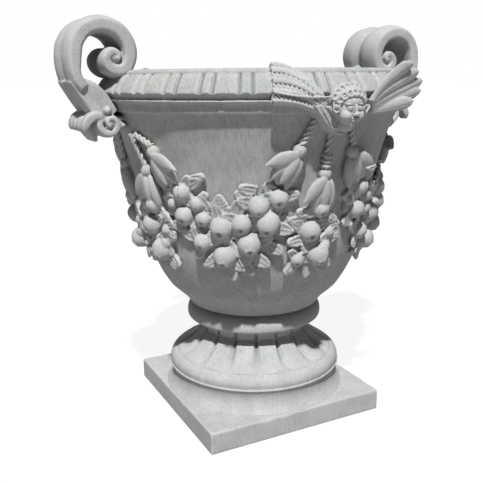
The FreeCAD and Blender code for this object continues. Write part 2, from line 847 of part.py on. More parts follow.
def make_ornaments():
    head_room = head_forms(s.bed_gap)
    mask = head_forms(0).cut(envelope)
    apron = seated(make_apron(), [head_room] + front_ropes(s.bed_gap))
    ropes = Part.makeCompound([rope.cut(envelope) for rope in front_ropes(0)])
    side_ropes = Part.makeCompound([rope.cut(envelope) for rope in handle_ropes(0)])
    left_wing = seated(make_wing(-1), [head_room])
    right_wing = seated(make_wing(1), [head_room])
    made = []
    for end, turn in (("front", 0), ("back", HALF_TURN)):
        made.append(piece(f"mask_{end}", mask, turn))
        made.append(piece(f"apron_{end}", apron, turn))
        made.append(piece(f"wing_{end}_left", left_wing, turn))
        made.append(piece(f"wing_{end}_right", right_wing, turn))
        made.append(piece(f"ropes_{end}", ropes, turn))
    for side, turn in (("left", 0), ("right", HALF_TURN)):
        made.append(piece(f"ropes_{side}", side_ropes, turn))
    swag, drop = make_swag(), make_drop()
    made += [piece(label, swag, turn) for label, turn in SWAG_TURNS.items()]
    made += [piece(label, drop, turn) for label, turn in DROP_TURNS.items()]
    return made


def make_urn():
    made = [
        make_plinth(),
        make_bed("plinth_bed", s.plinth_height, s.drum_radius - s.bed_inset),
        make_foot(),
        make_bed("neck_bed", foot_top, s.neck_radius - s.bed_inset),
        make_neck_ring(),
        make_drain_tube(),
        piece("seat_dowels", Part.makeCompound(seat_pins(0))),
        make_handle("handle_right", 0),
        make_handle("handle_left", HALF_TURN),
    ]
    bores = seat_pins(s.loose_fit)
    dowels = handle_pins(s.loose_fit)
    for label, turn in (("handle_dowels_right", 0), ("handle_dowels_left", HALF_TURN)):
        bores += [about_axis(dowel, turn) for dowel in dowels]
        made.append(piece(label, Part.makeCompound(handle_pins(0)), turn))
    made.append(cut("bowl", make_bowl_body(), bores))
    return made + make_ornaments()


def check(pieces):
    """Stop before anything is written if a feature failed or a shape is not sound."""
    doc.recompute()
    for feature in doc.Objects:
        if {"Invalid", "Error"} & set(feature.State):
            raise RuntimeError(f"{feature.Name} failed: {feature.State}")
    unsound = [feature.Label for feature in pieces
               if feature.Shape.isNull() or not feature.Shape.isValid() or not feature.Shape.Solids]
    if unsound:
        raise RuntimeError(f"no sound shape: {unsound}")


def write(pieces):
    os.makedirs("parts", exist_ok=True)
    for feature in pieces:
        feature.Shape.exportStep(os.path.join("parts", f"{feature.Label}.step"))
        box = feature.Shape.BoundBox
        print(f"{feature.Label:22s} solids {len(feature.Shape.Solids):2d}"
              f"  volume {feature.Shape.Volume / 1000:9.1f} cm3"
              f"  z {box.ZMin:6.1f} to {box.ZMax:6.1f}")


pieces = make_urn()
check(pieces)
write(pieces)
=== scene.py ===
# %% [markdown]
# # A footed garden urn in cast concrete
# The urn stacks in two parts: a pedestal (plinth, fluted foot, neck ring) and a bowl with scroll
# handles, winged masks, fruit swags and drops. The solids come in as a fixed frame in metres, and
# each casting is modelled over its solid. The real urn comes out of moulds, so its detail is soft and
# its edges are worn: the castings are put together from many small forms and then given one skin.

# %% Load the frame
import math

import bmesh
import bpy
from mathutils import Matrix, Vector, noise


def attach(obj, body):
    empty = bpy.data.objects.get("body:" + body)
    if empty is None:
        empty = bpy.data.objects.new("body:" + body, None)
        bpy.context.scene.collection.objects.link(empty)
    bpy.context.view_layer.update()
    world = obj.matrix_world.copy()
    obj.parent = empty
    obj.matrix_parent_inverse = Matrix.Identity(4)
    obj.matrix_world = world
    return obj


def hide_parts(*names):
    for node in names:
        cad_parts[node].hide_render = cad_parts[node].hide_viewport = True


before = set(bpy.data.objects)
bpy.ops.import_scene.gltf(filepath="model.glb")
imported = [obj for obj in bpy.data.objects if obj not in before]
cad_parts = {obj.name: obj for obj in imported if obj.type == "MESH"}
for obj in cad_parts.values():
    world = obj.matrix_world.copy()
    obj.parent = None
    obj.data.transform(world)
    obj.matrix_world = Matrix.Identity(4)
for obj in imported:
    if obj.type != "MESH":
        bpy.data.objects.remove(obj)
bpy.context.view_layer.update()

# %% [markdown]
# ## Camera
# The camera stands where the photographer stood: a little left of the front mask and somewhat above
# the rim. The lens is a normal one, so near and far corners of the plinth differ only gently.

# %% Camera
YAW, ROLL = math.radians(-27.05), math.radians(-0.49)
eye = Vector((-0.65948, -1.23408, 0.70809))
right = Vector((math.cos(YAW), math.sin(YAW), 0))
forward = Vector((0.4413, 0.8642, -0.2416)).normalized()
up = right.cross(forward)
turned_right = right * math.cos(ROLL) + up * math.sin(ROLL)
turned_up = up * math.cos(ROLL) - right * math.sin(ROLL)
camera_data = bpy.data.cameras.new("camera")
camera_data.sensor_width = 36
camera_data.lens = 48.81
camera = bpy.data.objects.new("camera", camera_data)
bpy.context.scene.collection.objects.link(camera)
camera.matrix_world = Matrix.Translation(eye) @ Matrix(
    (turned_right, turned_up, -forward)).transposed().to_4x4()
bpy.context.scene.camera = camera
print("camera", [round(v, 3) for v in eye], "lens", camera_data.lens)

# %% [markdown]
# ## Lines of the bowl and the pedestal
# The turned parts are drawn as one half of their outline, in millimetres: radius and height. The
# ornaments sit on the bowl's wall, so the same line also tells how far out the wall is at a height.

# %% Outlines
WALL = [(130, 236), (143, 238), (146, 243), (152, 252), (161, 261), (170, 269), (179, 277), (186, 284),
        (196, 300), (203, 312), (209, 325), (216, 340), (222, 355), (228, 370), (232, 384), (236, 400),
        (239, 415), (242, 440), (246, 465), (251, 490), (255, 515), (260, 540), (265, 560), (271, 580),
        (277, 600), (285, 622), (292, 640), (296, 648.6)]
RIM = [(301, 650), (303.4, 651.6), (304.6, 656), (305.6, 661), (307, 665), (309.6, 668), (313, 669.8),
       (314.6, 671.2), (314.2, 672.6), (311.8, 673.6), (310.4, 675), (311.2, 677.4), (314, 680), (317.4, 682),
       (319.8, 684), (320.3, 686), (318.6, 689.6), (315.2, 695.4), (311.4, 701.2), (307, 707), (302.4, 712),
       (298.6, 715), (296, 716), (295, 717.4), (294.4, 720), (292.5, 722.8), (289, 724.4), (284, 725)]
INSIDE = [(262, 724.6), (248, 722.5), (244.5, 717), (243, 700), (236, 640), (224, 550), (212, 470),
          (203, 420), (194, 385), (180, 350), (158, 318), (130, 298), (107, 289), (60, 288), (24, 288),
          (22, 286), (22, 236)]
FOOT = [(100, 44.9), (198, 44.9), (196, 46), (193.4, 49), (189.6, 54), (186.4, 60), (184.2, 67),
        (183.4, 74), (183.8, 81), (185.8, 87), (188.4, 91.4), (190, 93.4), (190, 95.6), (188.2, 96.4),
        (187.6, 98), (188.4, 102), (188.2, 107), (186.4, 112), (183.2, 116.5), (179, 120.2),
        (174.4, 122.6), (172.6, 122.4), (171.4, 123.4), (169, 125.6), (165, 128), (160, 131),
        (154, 134.6), (148, 138.8), (142, 143.2), (136.4, 147.6), (131.4, 152), (127.4, 156.4),
        (123.6, 161), (119.6, 165.4), (116, 169), (113, 172.6), (60, 173)]
RING = [(60, 173.4), (112.4, 173.4), (112.6, 178), (113.6, 184), (116, 190), (120, 195), (124, 197.8),
        (130, 198.6), (140, 199), (144.4, 200.2), (147, 203), (147.8, 207), (147.8, 212), (147.2, 217),
        (145.6, 222), (142.6, 226.6), (138.6, 230.2), (134, 232.6), (130, 234.4), (120, 235.6), (60, 235.6)]
MM = 0.001


def wall_reach(height):
    """Radius of the bowl's outer wall at a height, in millimetres."""
    line = WALL + RIM[:1]
    for (low, bottom), (high, top) in zip(line, line[1:]):
        if height <= top:
            return low + (high - low) * max(0, height - bottom) / (top - bottom)
    return line[-1][0]


def rounded(line):
    """The same outline with its corners cut evenly, which gives a soft, cast profile."""
    points = [line[0]]
    for (a, b), (c, d) in zip(line, line[1:]):
        points += [(a * 0.75 + c * 0.25, b * 0.75 + d * 0.25), (a * 0.25 + c * 0.75, b * 0.25 + d * 0.75)]
    return points + [line[-1]]


print("wall radius at z 500:", round(wall_reach(500), 1))

# %% [markdown]
# ## Concrete
# Dry cast concrete is a pale, slightly cool grey. Up close it is never even: broad warm and cool
# patches, fine sandy grain, pinholes where air sat against the mould and faint runs of rain water down
# the wall. On top of these, painted shade darkens the hollows and a painted highlight pales the sharp
# edges. One shader group makes all of this for every casting, with inputs for how strong the runs and
# pinholes are.

# %% Concrete group
def link_math(group, operation, first, second):
    node = group.nodes.new("ShaderNodeMath")
    node.operation = operation
    for socket, value in zip(node.inputs, (first, second)):
        if isinstance(value, (int, float)):
            socket.default_value = value
        else:
            group.links.new(value, socket)
    return node.outputs[0]


def ramp(group, source, stops):
    node = group.nodes.new("ShaderNodeMapRange")
    node.interpolation_type = "SMOOTHSTEP"
    low, high, out_low, out_high = stops
    for name, value in (("From Min", low), ("From Max", high), ("To Min", out_low), ("To Max", out_high)):
        node.inputs[name].default_value = value
    group.links.new(source, node.inputs["Value"])
    return node.outputs["Result"]


def noise_field(group, coordinates, scale, detail, stretch=None):
    if stretch:
        mapping = group.nodes.new("ShaderNodeMapping")
        mapping.inputs["Scale"].default_value = stretch
        group.links.new(coordinates, mapping.inputs["Vector"])
        coordinates = mapping.outputs["Vector"]
    node = group.nodes.new("ShaderNodeTexNoise")
    node.inputs["Scale"].default_value = scale
    node.inputs["Detail"].default_value = detail
    group.links.new(coordinates, node.inputs["Vector"])
    return node.outputs["Fac"]


def mix_colours(group, factor, first, second):
    node = group.nodes.new("ShaderNodeMix")
    node.data_type = "RGBA"
    colours = [socket for socket in node.inputs if socket.type == "RGBA"]
    for socket, value in zip([node.inputs[0]] + colours, (factor, first, second)):
        if isinstance(value, (int, float, tuple)):
            socket.default_value = value
        else:
            group.links.new(value, socket)
    return next(socket for socket in node.outputs if socket.type == "RGBA")


def make_concrete_group():
    group = bpy.data.node_groups.new("cast_concrete", "ShaderNodeTree")
    face = group.interface
    for name, kind, value in (("Coordinates", "NodeSocketVector", None),
                              ("Tone", "NodeSocketColor", (0.4, 0.41, 0.41, 1)),
                              ("Runs", "NodeSocketFloat", 0.4),
                              ("Pinholes", "NodeSocketFloat", 0.5)):
        socket = face.new_socket(name, in_out="INPUT", socket_type=kind)
        if value is not None:
            socket.default_value = value
    for name, kind in (("Color", "NodeSocketColor"), ("Roughness", "NodeSocketFloat"),
                       ("Height", "NodeSocketFloat")):
        face.new_socket(name, in_out="OUTPUT", socket_type=kind)
    taken = group.nodes.new("NodeGroupInput")
    given = group.nodes.new("NodeGroupOutput")
    place = taken.outputs["Coordinates"]
    patches = noise_field(group, place, 5.5, 4)
    mottle = noise_field(group, place, 28, 6)
    grain = noise_field(group, place, 430, 2)
    runs = noise_field(group, place, 1, 4, (210, 210, 6))
    holes = group.nodes.new("ShaderNodeTexVoronoi")
    holes.inputs["Scale"].default_value = 130
    group.links.new(place, holes.inputs["Vector"])
    chosen = group.nodes.new("ShaderNodeSeparateColor")
    group.links.new(holes.outputs["Color"], chosen.inputs["Color"])
    some = ramp(group, chosen.outputs[0], (0.86, 0.9, 0, 1))
    hole = link_math(group, "MULTIPLY", ramp(group, holes.outputs["Distance"], (0.1, 0.24, 1, 0)), some)
    hole = link_math(group, "MULTIPLY", hole, taken.outputs["Pinholes"])
    shape = group.nodes.new("ShaderNodeNewGeometry")
    # Painted highlight: sharp edges, picked out by pointiness, are made paler as if they caught the light.
    edge = ramp(group, shape.outputs["Pointiness"], (0.5, 0.58, 0, 1))
    # Painted shade: hollows, picked out by pointiness, are darkened as if shade fell in them.
    painted_hollow_shade = ramp(group, shape.outputs["Pointiness"], (0.4, 0.495, 1, 0))
    colour = mix_colours(group, ramp(group, patches, (0.5, 0.72, 0, 0.45)), taken.outputs["Tone"],
                         (0.42, 0.405, 0.38, 1))
    colour = mix_colours(group, ramp(group, mottle, (0.36, 0.62, 0.24, 0)), colour, (0.24, 0.25, 0.265, 1))
    colour = mix_colours(group, ramp(group, grain, (0.4, 0.6, 0.34, 0)), colour, (0.22, 0.225, 0.23, 1))
    streak = link_math(group, "MULTIPLY", ramp(group, runs, (0.42, 0.66, 0, 0.62)), taken.outputs["Runs"])
    colour = mix_colours(group, streak, colour, (0.26, 0.268, 0.275, 1))
    # Painted shade in the hollows: a strong mix towards near-black.
    colour = mix_colours(group, link_math(group, "MULTIPLY", painted_hollow_shade, 0.85), colour, (0.07, 0.075, 0.082, 1))
    # Painted highlight on the sharp edges.
    colour = mix_colours(group, link_math(group, "MULTIPLY", edge, 0.3), colour, (0.6, 0.61, 0.61, 1))
    colour = mix_colours(group, link_math(group, "MULTIPLY", hole, 0.6), colour, (0.1, 0.105, 0.11, 1))
    group.links.new(colour, given.inputs["Color"])
    group.links.new(ramp(group, mottle, (0.3, 0.7, 0.97, 0.84)), given.inputs["Roughness"])
    height = link_math(group, "ADD", link_math(group, "MULTIPLY", grain, 0.3),
                       link_math(group, "MULTIPLY", mottle, 0.5))
    height = link_math(group, "SUBTRACT", height, hole)
    group.links.new(height, given.inputs["Height"])
    return group


concrete_group = make_concrete_group()


def concrete(name, tone, runs, pinholes):
    """A concrete finish with its own tone, water runs and pinholes."""
    material = bpy.data.materials.new(name)
    material.use_nodes = True
    nodes, links = material.node_tree.nodes, material.node_tree.links
    shader = nodes["Principled BSDF"]
    shader.inputs["Specular IOR Level"].default_value = 0.25
    finish = nodes.new("ShaderNodeGroup")
    finish.node_tree = concrete_group
    finish.inputs["Tone"].default_value = tone
    finish.inputs["Runs"].default_value = runs
    finish.inputs["Pinholes"].default_value = pinholes
    place = nodes.new("ShaderNodeTexCoord")
    bump = nodes.new("ShaderNodeBump")
    bump.inputs["Strength"].default_value = 0.5
    bump.inputs["Distance"].default_value = 0.0012
    links.new(place.outputs["Object"], finish.inputs["Coordinates"])
    links.new(finish.outputs["Color"], shader.inputs["Base Color"])
    links.new(finish.outputs["Roughness"], shader.inputs["Roughness"])
    links.new(finish.outputs["Height"], bump.inputs["Height"])
    links.new(bump.outputs["Normal"], shader.inputs["Normal"])
    return material


wall_concrete = concrete("wall_concrete", (0.42, 0.433, 0.437, 1), 0.8, 0.5)
carved_concrete = concrete("carved_concrete", (0.46, 0.473, 0.477, 1), 0.15, 0.35)
foot_concrete = concrete("foot_concrete", (0.44, 0.452, 0.456, 1), 0.35, 0.8)
mortar = concrete("mortar", (0.33, 0.335, 0.335, 1), 0, 1)
print("finishes", [m.name for m in (wall_concrete, carved_concrete, foot_concrete, mortar)])

# %% [markdown]
# ## From shapes to pieces
# A piece is drawn in millimetres in a bmesh. `piece` turns it into an object in metres, lets it ride
# on its body and hides the solid it stands in for. `cast` first gives a heap of overlapping forms one
# closed skin, as a mould does, by filling it with small voxels.

# %% Pieces and castings
def to_mesh(name, shape):
    mesh = bpy.data.meshes.new(name)
    shape.to_mesh(mesh)
    shape.free()
    return mesh


def piece(name, mesh, body, node, material, turn=0.0):
    """An object in metres made from a mesh in millimetres, turned about the urn's axis."""
    mesh = mesh.copy()
    mesh.name = name
    mesh.transform(Matrix.Rotation(math.radians(turn), 4, "Z") @ Matrix.Scale(MM, 4))
    mesh.shade_smooth()
    mesh.materials.clear()
    mesh.materials.append(material)
    made = bpy.data.objects.new(name, mesh)
    bpy.context.scene.collection.objects.link(made)
    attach(made, body)
    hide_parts(node)
    return made


def cast(name, shape, voxel):
    """One closed, slightly softened skin over all forms in a bmesh."""
    source = bpy.data.objects.new(name, to_mesh(name, shape))
    bpy.context.scene.collection.objects.link(source)
    skin = source.modifiers.new("skin", "REMESH")
    skin.mode = "VOXEL"
    skin.voxel_size = voxel
    soft = source.modifiers.new("soft", "SMOOTH")
    soft.factor = 0.5
    soft.iterations = 1
    graph = bpy.context.evaluated_depsgraph_get()
    mesh = bpy.data.meshes.new_from_object(source.evaluated_get(graph))
    bpy.data.objects.remove(source)
    print(name, "faces", len(mesh.polygons))
    return mesh


def spun(outline, steps):
    """A bmesh turned about the urn's axis from a half outline."""
    shape = bmesh.new()
    points = [shape.verts.new((radius, 0, height)) for radius, height in outline]
    edges = [shape.edges.new(pair) for pair in zip(points, points[1:])]
    bmesh.ops.spin(shape, geom=points + edges, cent=(0, 0, 0), axis=(0, 0, 1), angle=math.tau,
                   steps=steps, use_merge=True)
    bmesh.ops.remove_doubles(shape, verts=shape.verts, dist=0.001)
    bmesh.ops.recalc_face_normals(shape, faces=shape.faces)
    return shape


def turn_of(point):
    """Angle of a point about the axis in degrees, from the front, positive to the right."""
    return math.degrees(math.atan2(point.x, -point.y))


def bump_of(distance, width):
    return math.exp(-(distance / width) ** 2)


def wavering(point, size):
    """A slow, even unevenness, as hand-finished work has."""
    return noise.noise(point / size)

# %% [markdown]
# ## Plinth
# A plain square slab. Its edges have been knocked over the years, so they are rounded with a bevel,
# cut finer, and then moved a little by a slow noise, most near the edges.

# %% Plinth
PLINTH_SIDE, PLINTH_HEIGHT = 400, 45
EDGE_BAND = 10


def make_plinth():
    shape = bmesh.new()
    bmesh.ops.create_cube(shape, size=1)
    bmesh.ops.scale(shape, vec=(PLINTH_SIDE, PLINTH_SIDE, PLINTH_HEIGHT), verts=shape.verts)
    bmesh.ops.translate(shape, vec=(0, 0, PLINTH_HEIGHT / 2), verts=shape.verts)
    upright = [e for e in shape.edges if abs(e.verts[0].co.z - e.verts[1].co.z) > 1]
    bmesh.ops.subdivide_edges(shape, edges=[e for e in shape.edges if e not in upright], cuts=39,
                              use_grid_fill=True)
    upright = [e for e in shape.edges if abs(e.verts[0].co.z - e.verts[1].co.z) > 1]
    bmesh.ops.subdivide_edges(shape, edges=upright, cuts=5, use_grid_fill=True)
    sharp = [e for e in shape.edges if e.calc_face_angle(0) > 1]
    bmesh.ops.bevel(shape, geom=sharp, offset=2.6, offset_type="OFFSET", segments=3, profile=0.5,
                    affect="EDGES", material=-1)
    for vert in shape.verts:
        x, y, z = vert.co
        side = PLINTH_SIDE / 2 - EDGE_BAND
        near = sum(abs(v) > limit for v, limit in ((x, side), (y, side), (z - PLINTH_HEIGHT / 2, 20)))
        if near >= 2 and z > 8:
            worn = max(0, wavering(vert.co, 23) + 0.5 * wavering(vert.co, 7) - 0.1)
            vert.co -= Vector((x, y, 0)).normalized() * worn * 2.2 + Vector((0, 0, worn * 1.6))
    return to_mesh("plinth", shape)


piece("plinth_slab", make_plinth(), "pedestal", "plinth", foot_concrete)
print("plinth made")

# %% [markdown]
# ## Foot and neck ring
# Both are turned by spinning their outline. The tongues on the foot's slope are carved afterwards:
# the points of the slope move inwards along a groove between two tongues, most at the neck and less
# towards the incised line, where the groove opens and runs out.

# %% Foot and neck ring
TONGUES = 16
FIRST_GROOVE = -3.0
SLOPE_BASE, SLOPE_HEIGHT = 123, 48
NECK_CORE = 105


def grooved(shape, low, high, deep):
    """The turned shape with a groove between each two tongues, from a low to a high level."""
    pitch = 360 / TONGUES
    for vert in shape.verts:
        x, y, z = vert.co
        out = Vector((x, y, 0)).normalized()
        if low < z < high and math.hypot(x, y) > NECK_CORE:
            share = min(1, (z - SLOPE_BASE) / SLOPE_HEIGHT)
            fade = min(1, (high - z) / 3)
            off = ((turn_of(vert.co) - FIRST_GROOVE) / pitch + 0.5) % 1 - 0.5
            groove = deep * fade * min(1, share * 2.6) * bump_of(off, 0.07 + 0.09 * (1 - share))
            lobe = 1.4 * bump_of(share - 0.06, 0.12) * (2 * abs(off)) ** 1.5
            vert.co -= (out + Vector((0, 0, 0.7 if share < 1 else 0))) * (groove - lobe)
        vert.co += out * 0.5 * wavering(vert.co, 45)
    return shape


foot = grooved(spun(rounded(FOOT), 512), 123, 175, 8)
neck_ring = grooved(spun(rounded(RING), 512), 170, 196, 5)
piece("fluted_foot", to_mesh("foot", foot), "pedestal", "foot", foot_concrete)
piece("rounded_neck_ring", to_mesh("ring", neck_ring), "pedestal", "neck_ring", foot_concrete)
print("foot with", TONGUES, "tongues")

# %% [markdown]
# ## Bowl
# The bowl is one spin of its wall, rim, lip and hollow inside. The rim carries narrow straps, each
# between two grooves, and its lower edge is chipped. The grooves are pressed in by moving the rim's
# points, which at half a degree apart are close enough to show a clean line.

# %% Bowl
STRAPS = 30
GROOVE_DEPTH, GROOVE_SIDE, STRAP_SWELL = 7, 2, 0.8
STRAP_LOW, STRAP_HIGH = 683, 718


def make_bowl():
    outline = rounded(WALL) + rounded(RIM) + INSIDE
    shape = spun(outline + [outline[0]], 720)
    pitch = 360 / STRAPS
    for vert in shape.verts:
        x, y, z = vert.co
        radius = math.hypot(x, y)
        out = Vector((x, y, 0)).normalized()
        if radius > 292 and z > 667:
            off = ((turn_of(vert.co) - 6) / pitch + 0.5) % 1 - 0.5
            lift = (out + Vector((0, 0, 0.7))).normalized()
            side = abs(off) * pitch
            share = min(1, max(0, (z - STRAP_LOW) / 4)) * min(1, max(0, (STRAP_HIGH - z) / 4))
            press = GROOVE_DEPTH * min(1, max(0, 1.5 - abs(side - GROOVE_SIDE) / 0.5))
            press -= STRAP_SWELL * (side < 1.3)
            vert.co -= lift * press * share
            if z < 690:
                vert.co -= out * max(0, wavering(vert.co, 15) + wavering(vert.co, 5) * 0.6 - 0.25) * 2.6
        elif z > 240 and radius > 125:
            vert.co += out * (0.7 * wavering(vert.co, 60) - 0.5)
    return to_mesh("bowl", shape)


piece("tulip_bowl", make_bowl(), "bowl", "bowl", wall_concrete)
print("bowl with", STRAPS, "straps")

# %% [markdown]
# ## Carved forms
# Fruit, leaves, petals and knobs are the small forms of the swags and drops. Each starts from a
# ball or a grid, and its points are moved: a dimple for the eye of an apple, a neck for a pear, a
# cleft for a peach, teeth and veins for a leaf. `on_wall` gives the place of a form: its own X runs
# to the right along the wall, its Y up the wall and its Z straight out.

# %% Carved forms
FRUIT_SINK_SHARE = 0.42
LEAF_THICKNESS = 6.0
LEAF_BLUNTNESS = 0.75


def on_wall(angle, height, lift=0.0, spin=0.0):
    turn = math.radians(angle)
    out = Vector((math.sin(turn), -math.cos(turn), 0))
    slope = (wall_reach(height + 5) - wall_reach(height - 5)) / 10
    along = (Vector((0, 0, 1)) + out * slope).normalized()
    across = Vector((math.cos(turn), math.sin(turn), 0))
    normal = across.cross(along)
    place = Matrix((across, along, normal)).transposed().to_4x4()
    place.translation = out * wall_reach(height) + Vector((0, 0, height)) + normal * lift
    return place @ Matrix.Rotation(math.radians(spin), 4, "Z")


def ball(shape, place, reshape, fineness=4):
    """A ball of radius 1 whose points are reshaped and then put in place."""
    made = bmesh.ops.create_icosphere(shape, subdivisions=fineness, radius=1)["verts"]
    for vert in made:
        vert.co = reshape(vert.co.copy())
    bmesh.ops.transform(shape, matrix=place, verts=made)


def fruit(shape, angle, height, width, kind="apple", spin=0.0, tilt=28.0, length=1.0):
    """A fruit of a kind, with its eye turned outwards and down."""
    radius = width / 2

    def reshape(p):
        ring = math.hypot(p.x, p.y)
        if kind == "pear":
            neck = 1 - 0.42 * max(0, -p.z) ** 1.5
            p.x, p.y = p.x * neck, p.y * neck
            p.z -= 0.5 * bump_of(ring, 0.17) * (p.z > 0)
        elif kind == "peach":
            p *= 1 - 0.16 * bump_of(p.x, 0.14) * (p.z > -0.5)
        elif kind == "lemon":
            p.z *= 1 + 0.22 * bump_of(ring, 0.3)
            p.z -= 0.46 * bump_of(ring, 0.18) * (p.z > 0)
        elif kind == "pomegranate":
            star = 0.1 * math.cos(5 * math.atan2(p.y, p.x))
            if p.z > 0:
                p.z += 0.14 * bump_of(ring - 0.3 - star, 0.1) - 0.24 * bump_of(ring, 0.2)
        else:
            p.z -= (0.3 * bump_of(ring, 0.3) if kind == "apple" else 0.06) * (p.z > 0) * bump_of(ring, 0.4)
            p.z -= 0.5 * bump_of(ring, 0.17) * (p.z > 0)
        p.z *= length
        return p * radius

    place = on_wall(angle, height, radius * FRUIT_SINK_SHARE, spin)
    ball(shape, place @ Matrix.Rotation(math.radians(tilt), 4, "X"), reshape)


def leaf(shape, angle, height, length, width, spin, lift, teeth, rise, cup=3):
    """A leaf that grows from its stalk along its own Y. Teeth notch its edge, veins groove its face."""
    made = bmesh.ops.create_grid(shape, x_segments=14, y_segments=30, size=0.5)["verts"]
    for vert in made:
        across, along = vert.co.x * 2, vert.co.y + 0.5
        edge = max(0.02, math.sin(math.pi * min(1, along ** LEAF_BLUNTNESS * 0.97 + 0.03))) ** 0.7
        edge *= 1 - 0.2 * ((along * teeth) % 1) * min(1, 4 * along)
        x = across * edge * width / 2
        y = along * length
        ribs = math.cos(math.tau * (along * 7 - abs(across) * edge * 1.2))
        z = 1.8 * bump_of(across, 0.12) - 1.9 * max(0, ribs) * (abs(across) > 0.12) * edge
        z += cup * across ** 2 * edge - rise * (1 - along) ** 2 + rise
        vert.co = Vector((x, y, z - rise * (1 - along)))
    faces = list({face for vert in made for face in vert.link_faces})
    bmesh.ops.recalc_face_normals(shape, faces=faces)
    if sum(face.normal.z for face in faces) < 0:
        bmesh.ops.reverse_faces(shape, faces=faces)
    grown = bmesh.ops.solidify(shape, geom=faces, thickness=LEAF_THICKNESS)["geom"]
    backs = [part for part in grown if isinstance(part, bmesh.types.BMVert) and part not in made]
    for vert in backs:
        # Sharp corners throw the back's points far off, so these stay close behind the leaf.
        vert.co.x = max(-width / 2, min(width / 2, vert.co.x))
        vert.co.y = max(0, min(length, vert.co.y))
        vert.co.z = max(-1.5 * LEAF_THICKNESS, min(2 * LEAF_THICKNESS, vert.co.z))
    place = on_wall(angle, height, lift, spin)
    bmesh.ops.transform(shape, matrix=place, verts=list(set(made + backs)))


def stalk_leaves(shape, angle, height, width):
    """Three leaves that stand out from under a fruit, turned by its place."""
    for step in range(3):
        leaf(shape, angle, height, width * 1.08, width * 0.7, height * 7 + step * 125, 5, 5, 5)


def knob(shape, angle, height, width, spin=0.0):
    """A ribbed ball, such as a rope's end is bound in."""
    def reshape(p):
        ribs = 1 + 0.07 * math.cos(9 * math.atan2(p.y, p.x)) * (1 - abs(p.z)) ** 0.5
        return Vector((p.x * ribs, p.y * ribs, p.z * 1.02)) * width / 2

    place = on_wall(angle, height, width * 0.3, spin) @ Matrix.Rotation(math.radians(-90), 4, "X")
    ball(shape, place, reshape)


def backing(shape, spots):
    """Flat discs just under the wall's face that tie a casting's forms together."""
    for angle, height, width in spots:
        ball(shape, on_wall(angle, height, -4), lambda p, w=width: Vector((p.x * w, p.y * w, p.z * 5.5)), 3)

# %% [markdown]
# ## Swags
# A swag hangs from two bound knobs. Under each knob a husk of petals opens, with one petal thrown
# back as a flap, and fruit spills out of it. The fruit is thick in the middle of the sag, with
# toothed leaves between. All swags come from the same mould, so one is made and turned into place.
# Places are shares of the half angle and of the depth, and sizes are in millimetres.

# %% Swags
SWAG_HALF, SWAG_TOP, SWAG_DEPTH = 28.5, 589, 229


def at_swag(across, down):
    return across * SWAG_HALF, SWAG_TOP - down * SWAG_DEPTH


SWAG_FRUIT = [(-0.62, 0.345, 34, "peach"), (-0.823, 0.45, 22, "lemon"), (-0.625, 0.537, 37, "apple"),
              (-0.392, 0.432, 28, "lemon"), (-0.329, 0.555, 30, "berry"), (-0.046, 0.62, 42, "apple"),
              (-0.364, 0.755, 34, "berry"), (-0.021, 0.856, 43, "pomegranate"), (0.247, 0.59, 37, "berry"),
              (0.357, 0.751, 43, "pomegranate"), (0.488, 0.437, 38, "lemon"), (0.767, 0.376, 36, "berry")]
SWAG_LEAVES = [(-0.27, 0.5, 36, 24, 14, 7), (-0.057, 0.56, 50, 36, 0, 8), (0.17, 0.53, 40, 26, -12, 7),
               (-0.47, 0.74, 34, 22, 60, 5), (-0.2, 0.92, 26, 18, 115, 5), (0.05, 0.94, 34, 22, 190, 4),
               (0.24, 0.9, 36, 26, 215, 4), (0.42, 0.86, 36, 26, 235, 4), (0.7, 0.62, 40, 26, 260, 5),
               (0.62, 0.76, 34, 24, 240, 5), (-0.72, 0.6, 26, 18, 120, 5), (0.4, 0.4, 36, 22, 60, 4),
               (0.47, 0.32, 34, 20, 75, 4), (-0.52, 0.3, 34, 20, -60, 4), (-0.47, 0.25, 34, 18, -70, 4),
               (0.84, 0.52, 38, 20, 200, 4), (0.12, 0.74, 30, 22, 200, 4), (-0.2, 0.7, 26, 18, 150, 4)]


def husk(shape, knob_at, lean, side):
    """Knob, petals and the flap that is thrown back to one side, leaning along the rope's line."""
    angle, height = knob_at
    knob(shape, angle, height, 24, lean)
    place = on_wall(angle, height, 0, 180 + lean)

    def petal(across, along, lift, spin, reach, half, thick, taper):
        spot = place @ Matrix.Translation((-side * across, along, lift)) \
            @ Matrix.Rotation(math.radians(side * spin), 4, "Z")
        ball(shape, spot, lambda p: Vector((p.x * half * (1 - taper * max(0, p.y) ** 1.5), p.y * reach,
                                            p.z * thick)), 4)

    petal(0, 38, 5, 0, 34, 19, 14, 0.3)
    petal(-13, 40, 10, -8, 33, 12.5, 11, 0.35)
    petal(13, 38, 10, 8, 32, 12.5, 11, 0.35)
    petal(0, 37, 17, 0, 29, 11.5, 8, 0.4)
    petal(23, 27, 17, 44, 32, 14.5, 6.5, 0.75)


def make_swag():
    shape = bmesh.new()
    for across, down, width, kind in SWAG_FRUIT:
        fruit(shape, *at_swag(across, down), width, kind, spin=10 * math.sin(across * 40))
        stalk_leaves(shape, *at_swag(across, down), width)
    fruit(shape, *at_swag(0.629, 0.563), 44, "pear", spin=-20, tilt=40, length=1.25)
    for across, down, length, width, spin, teeth in SWAG_LEAVES:
        leaf(shape, *at_swag(across, down), length, width, spin, 7, teeth, 3)
    husk(shape, at_swag(-1, 0.03), 24, 1)
    husk(shape, at_swag(1, 0), -30, -1)
    spots = [(at_swag(x / 10, 0.28 + 0.48 * (1 - (x / 10) ** 2)), 26) for x in range(-9, 10, 2)]
    spots += [(at_swag(x / 10, 0.18 + 0.42 * (1 - (x / 10) ** 2)), 22) for x in range(-9, 10, 2)]
    backing(shape, [(angle, height, width) for (angle, height), width in spots])
    return cast("swag", shape, 1.7)


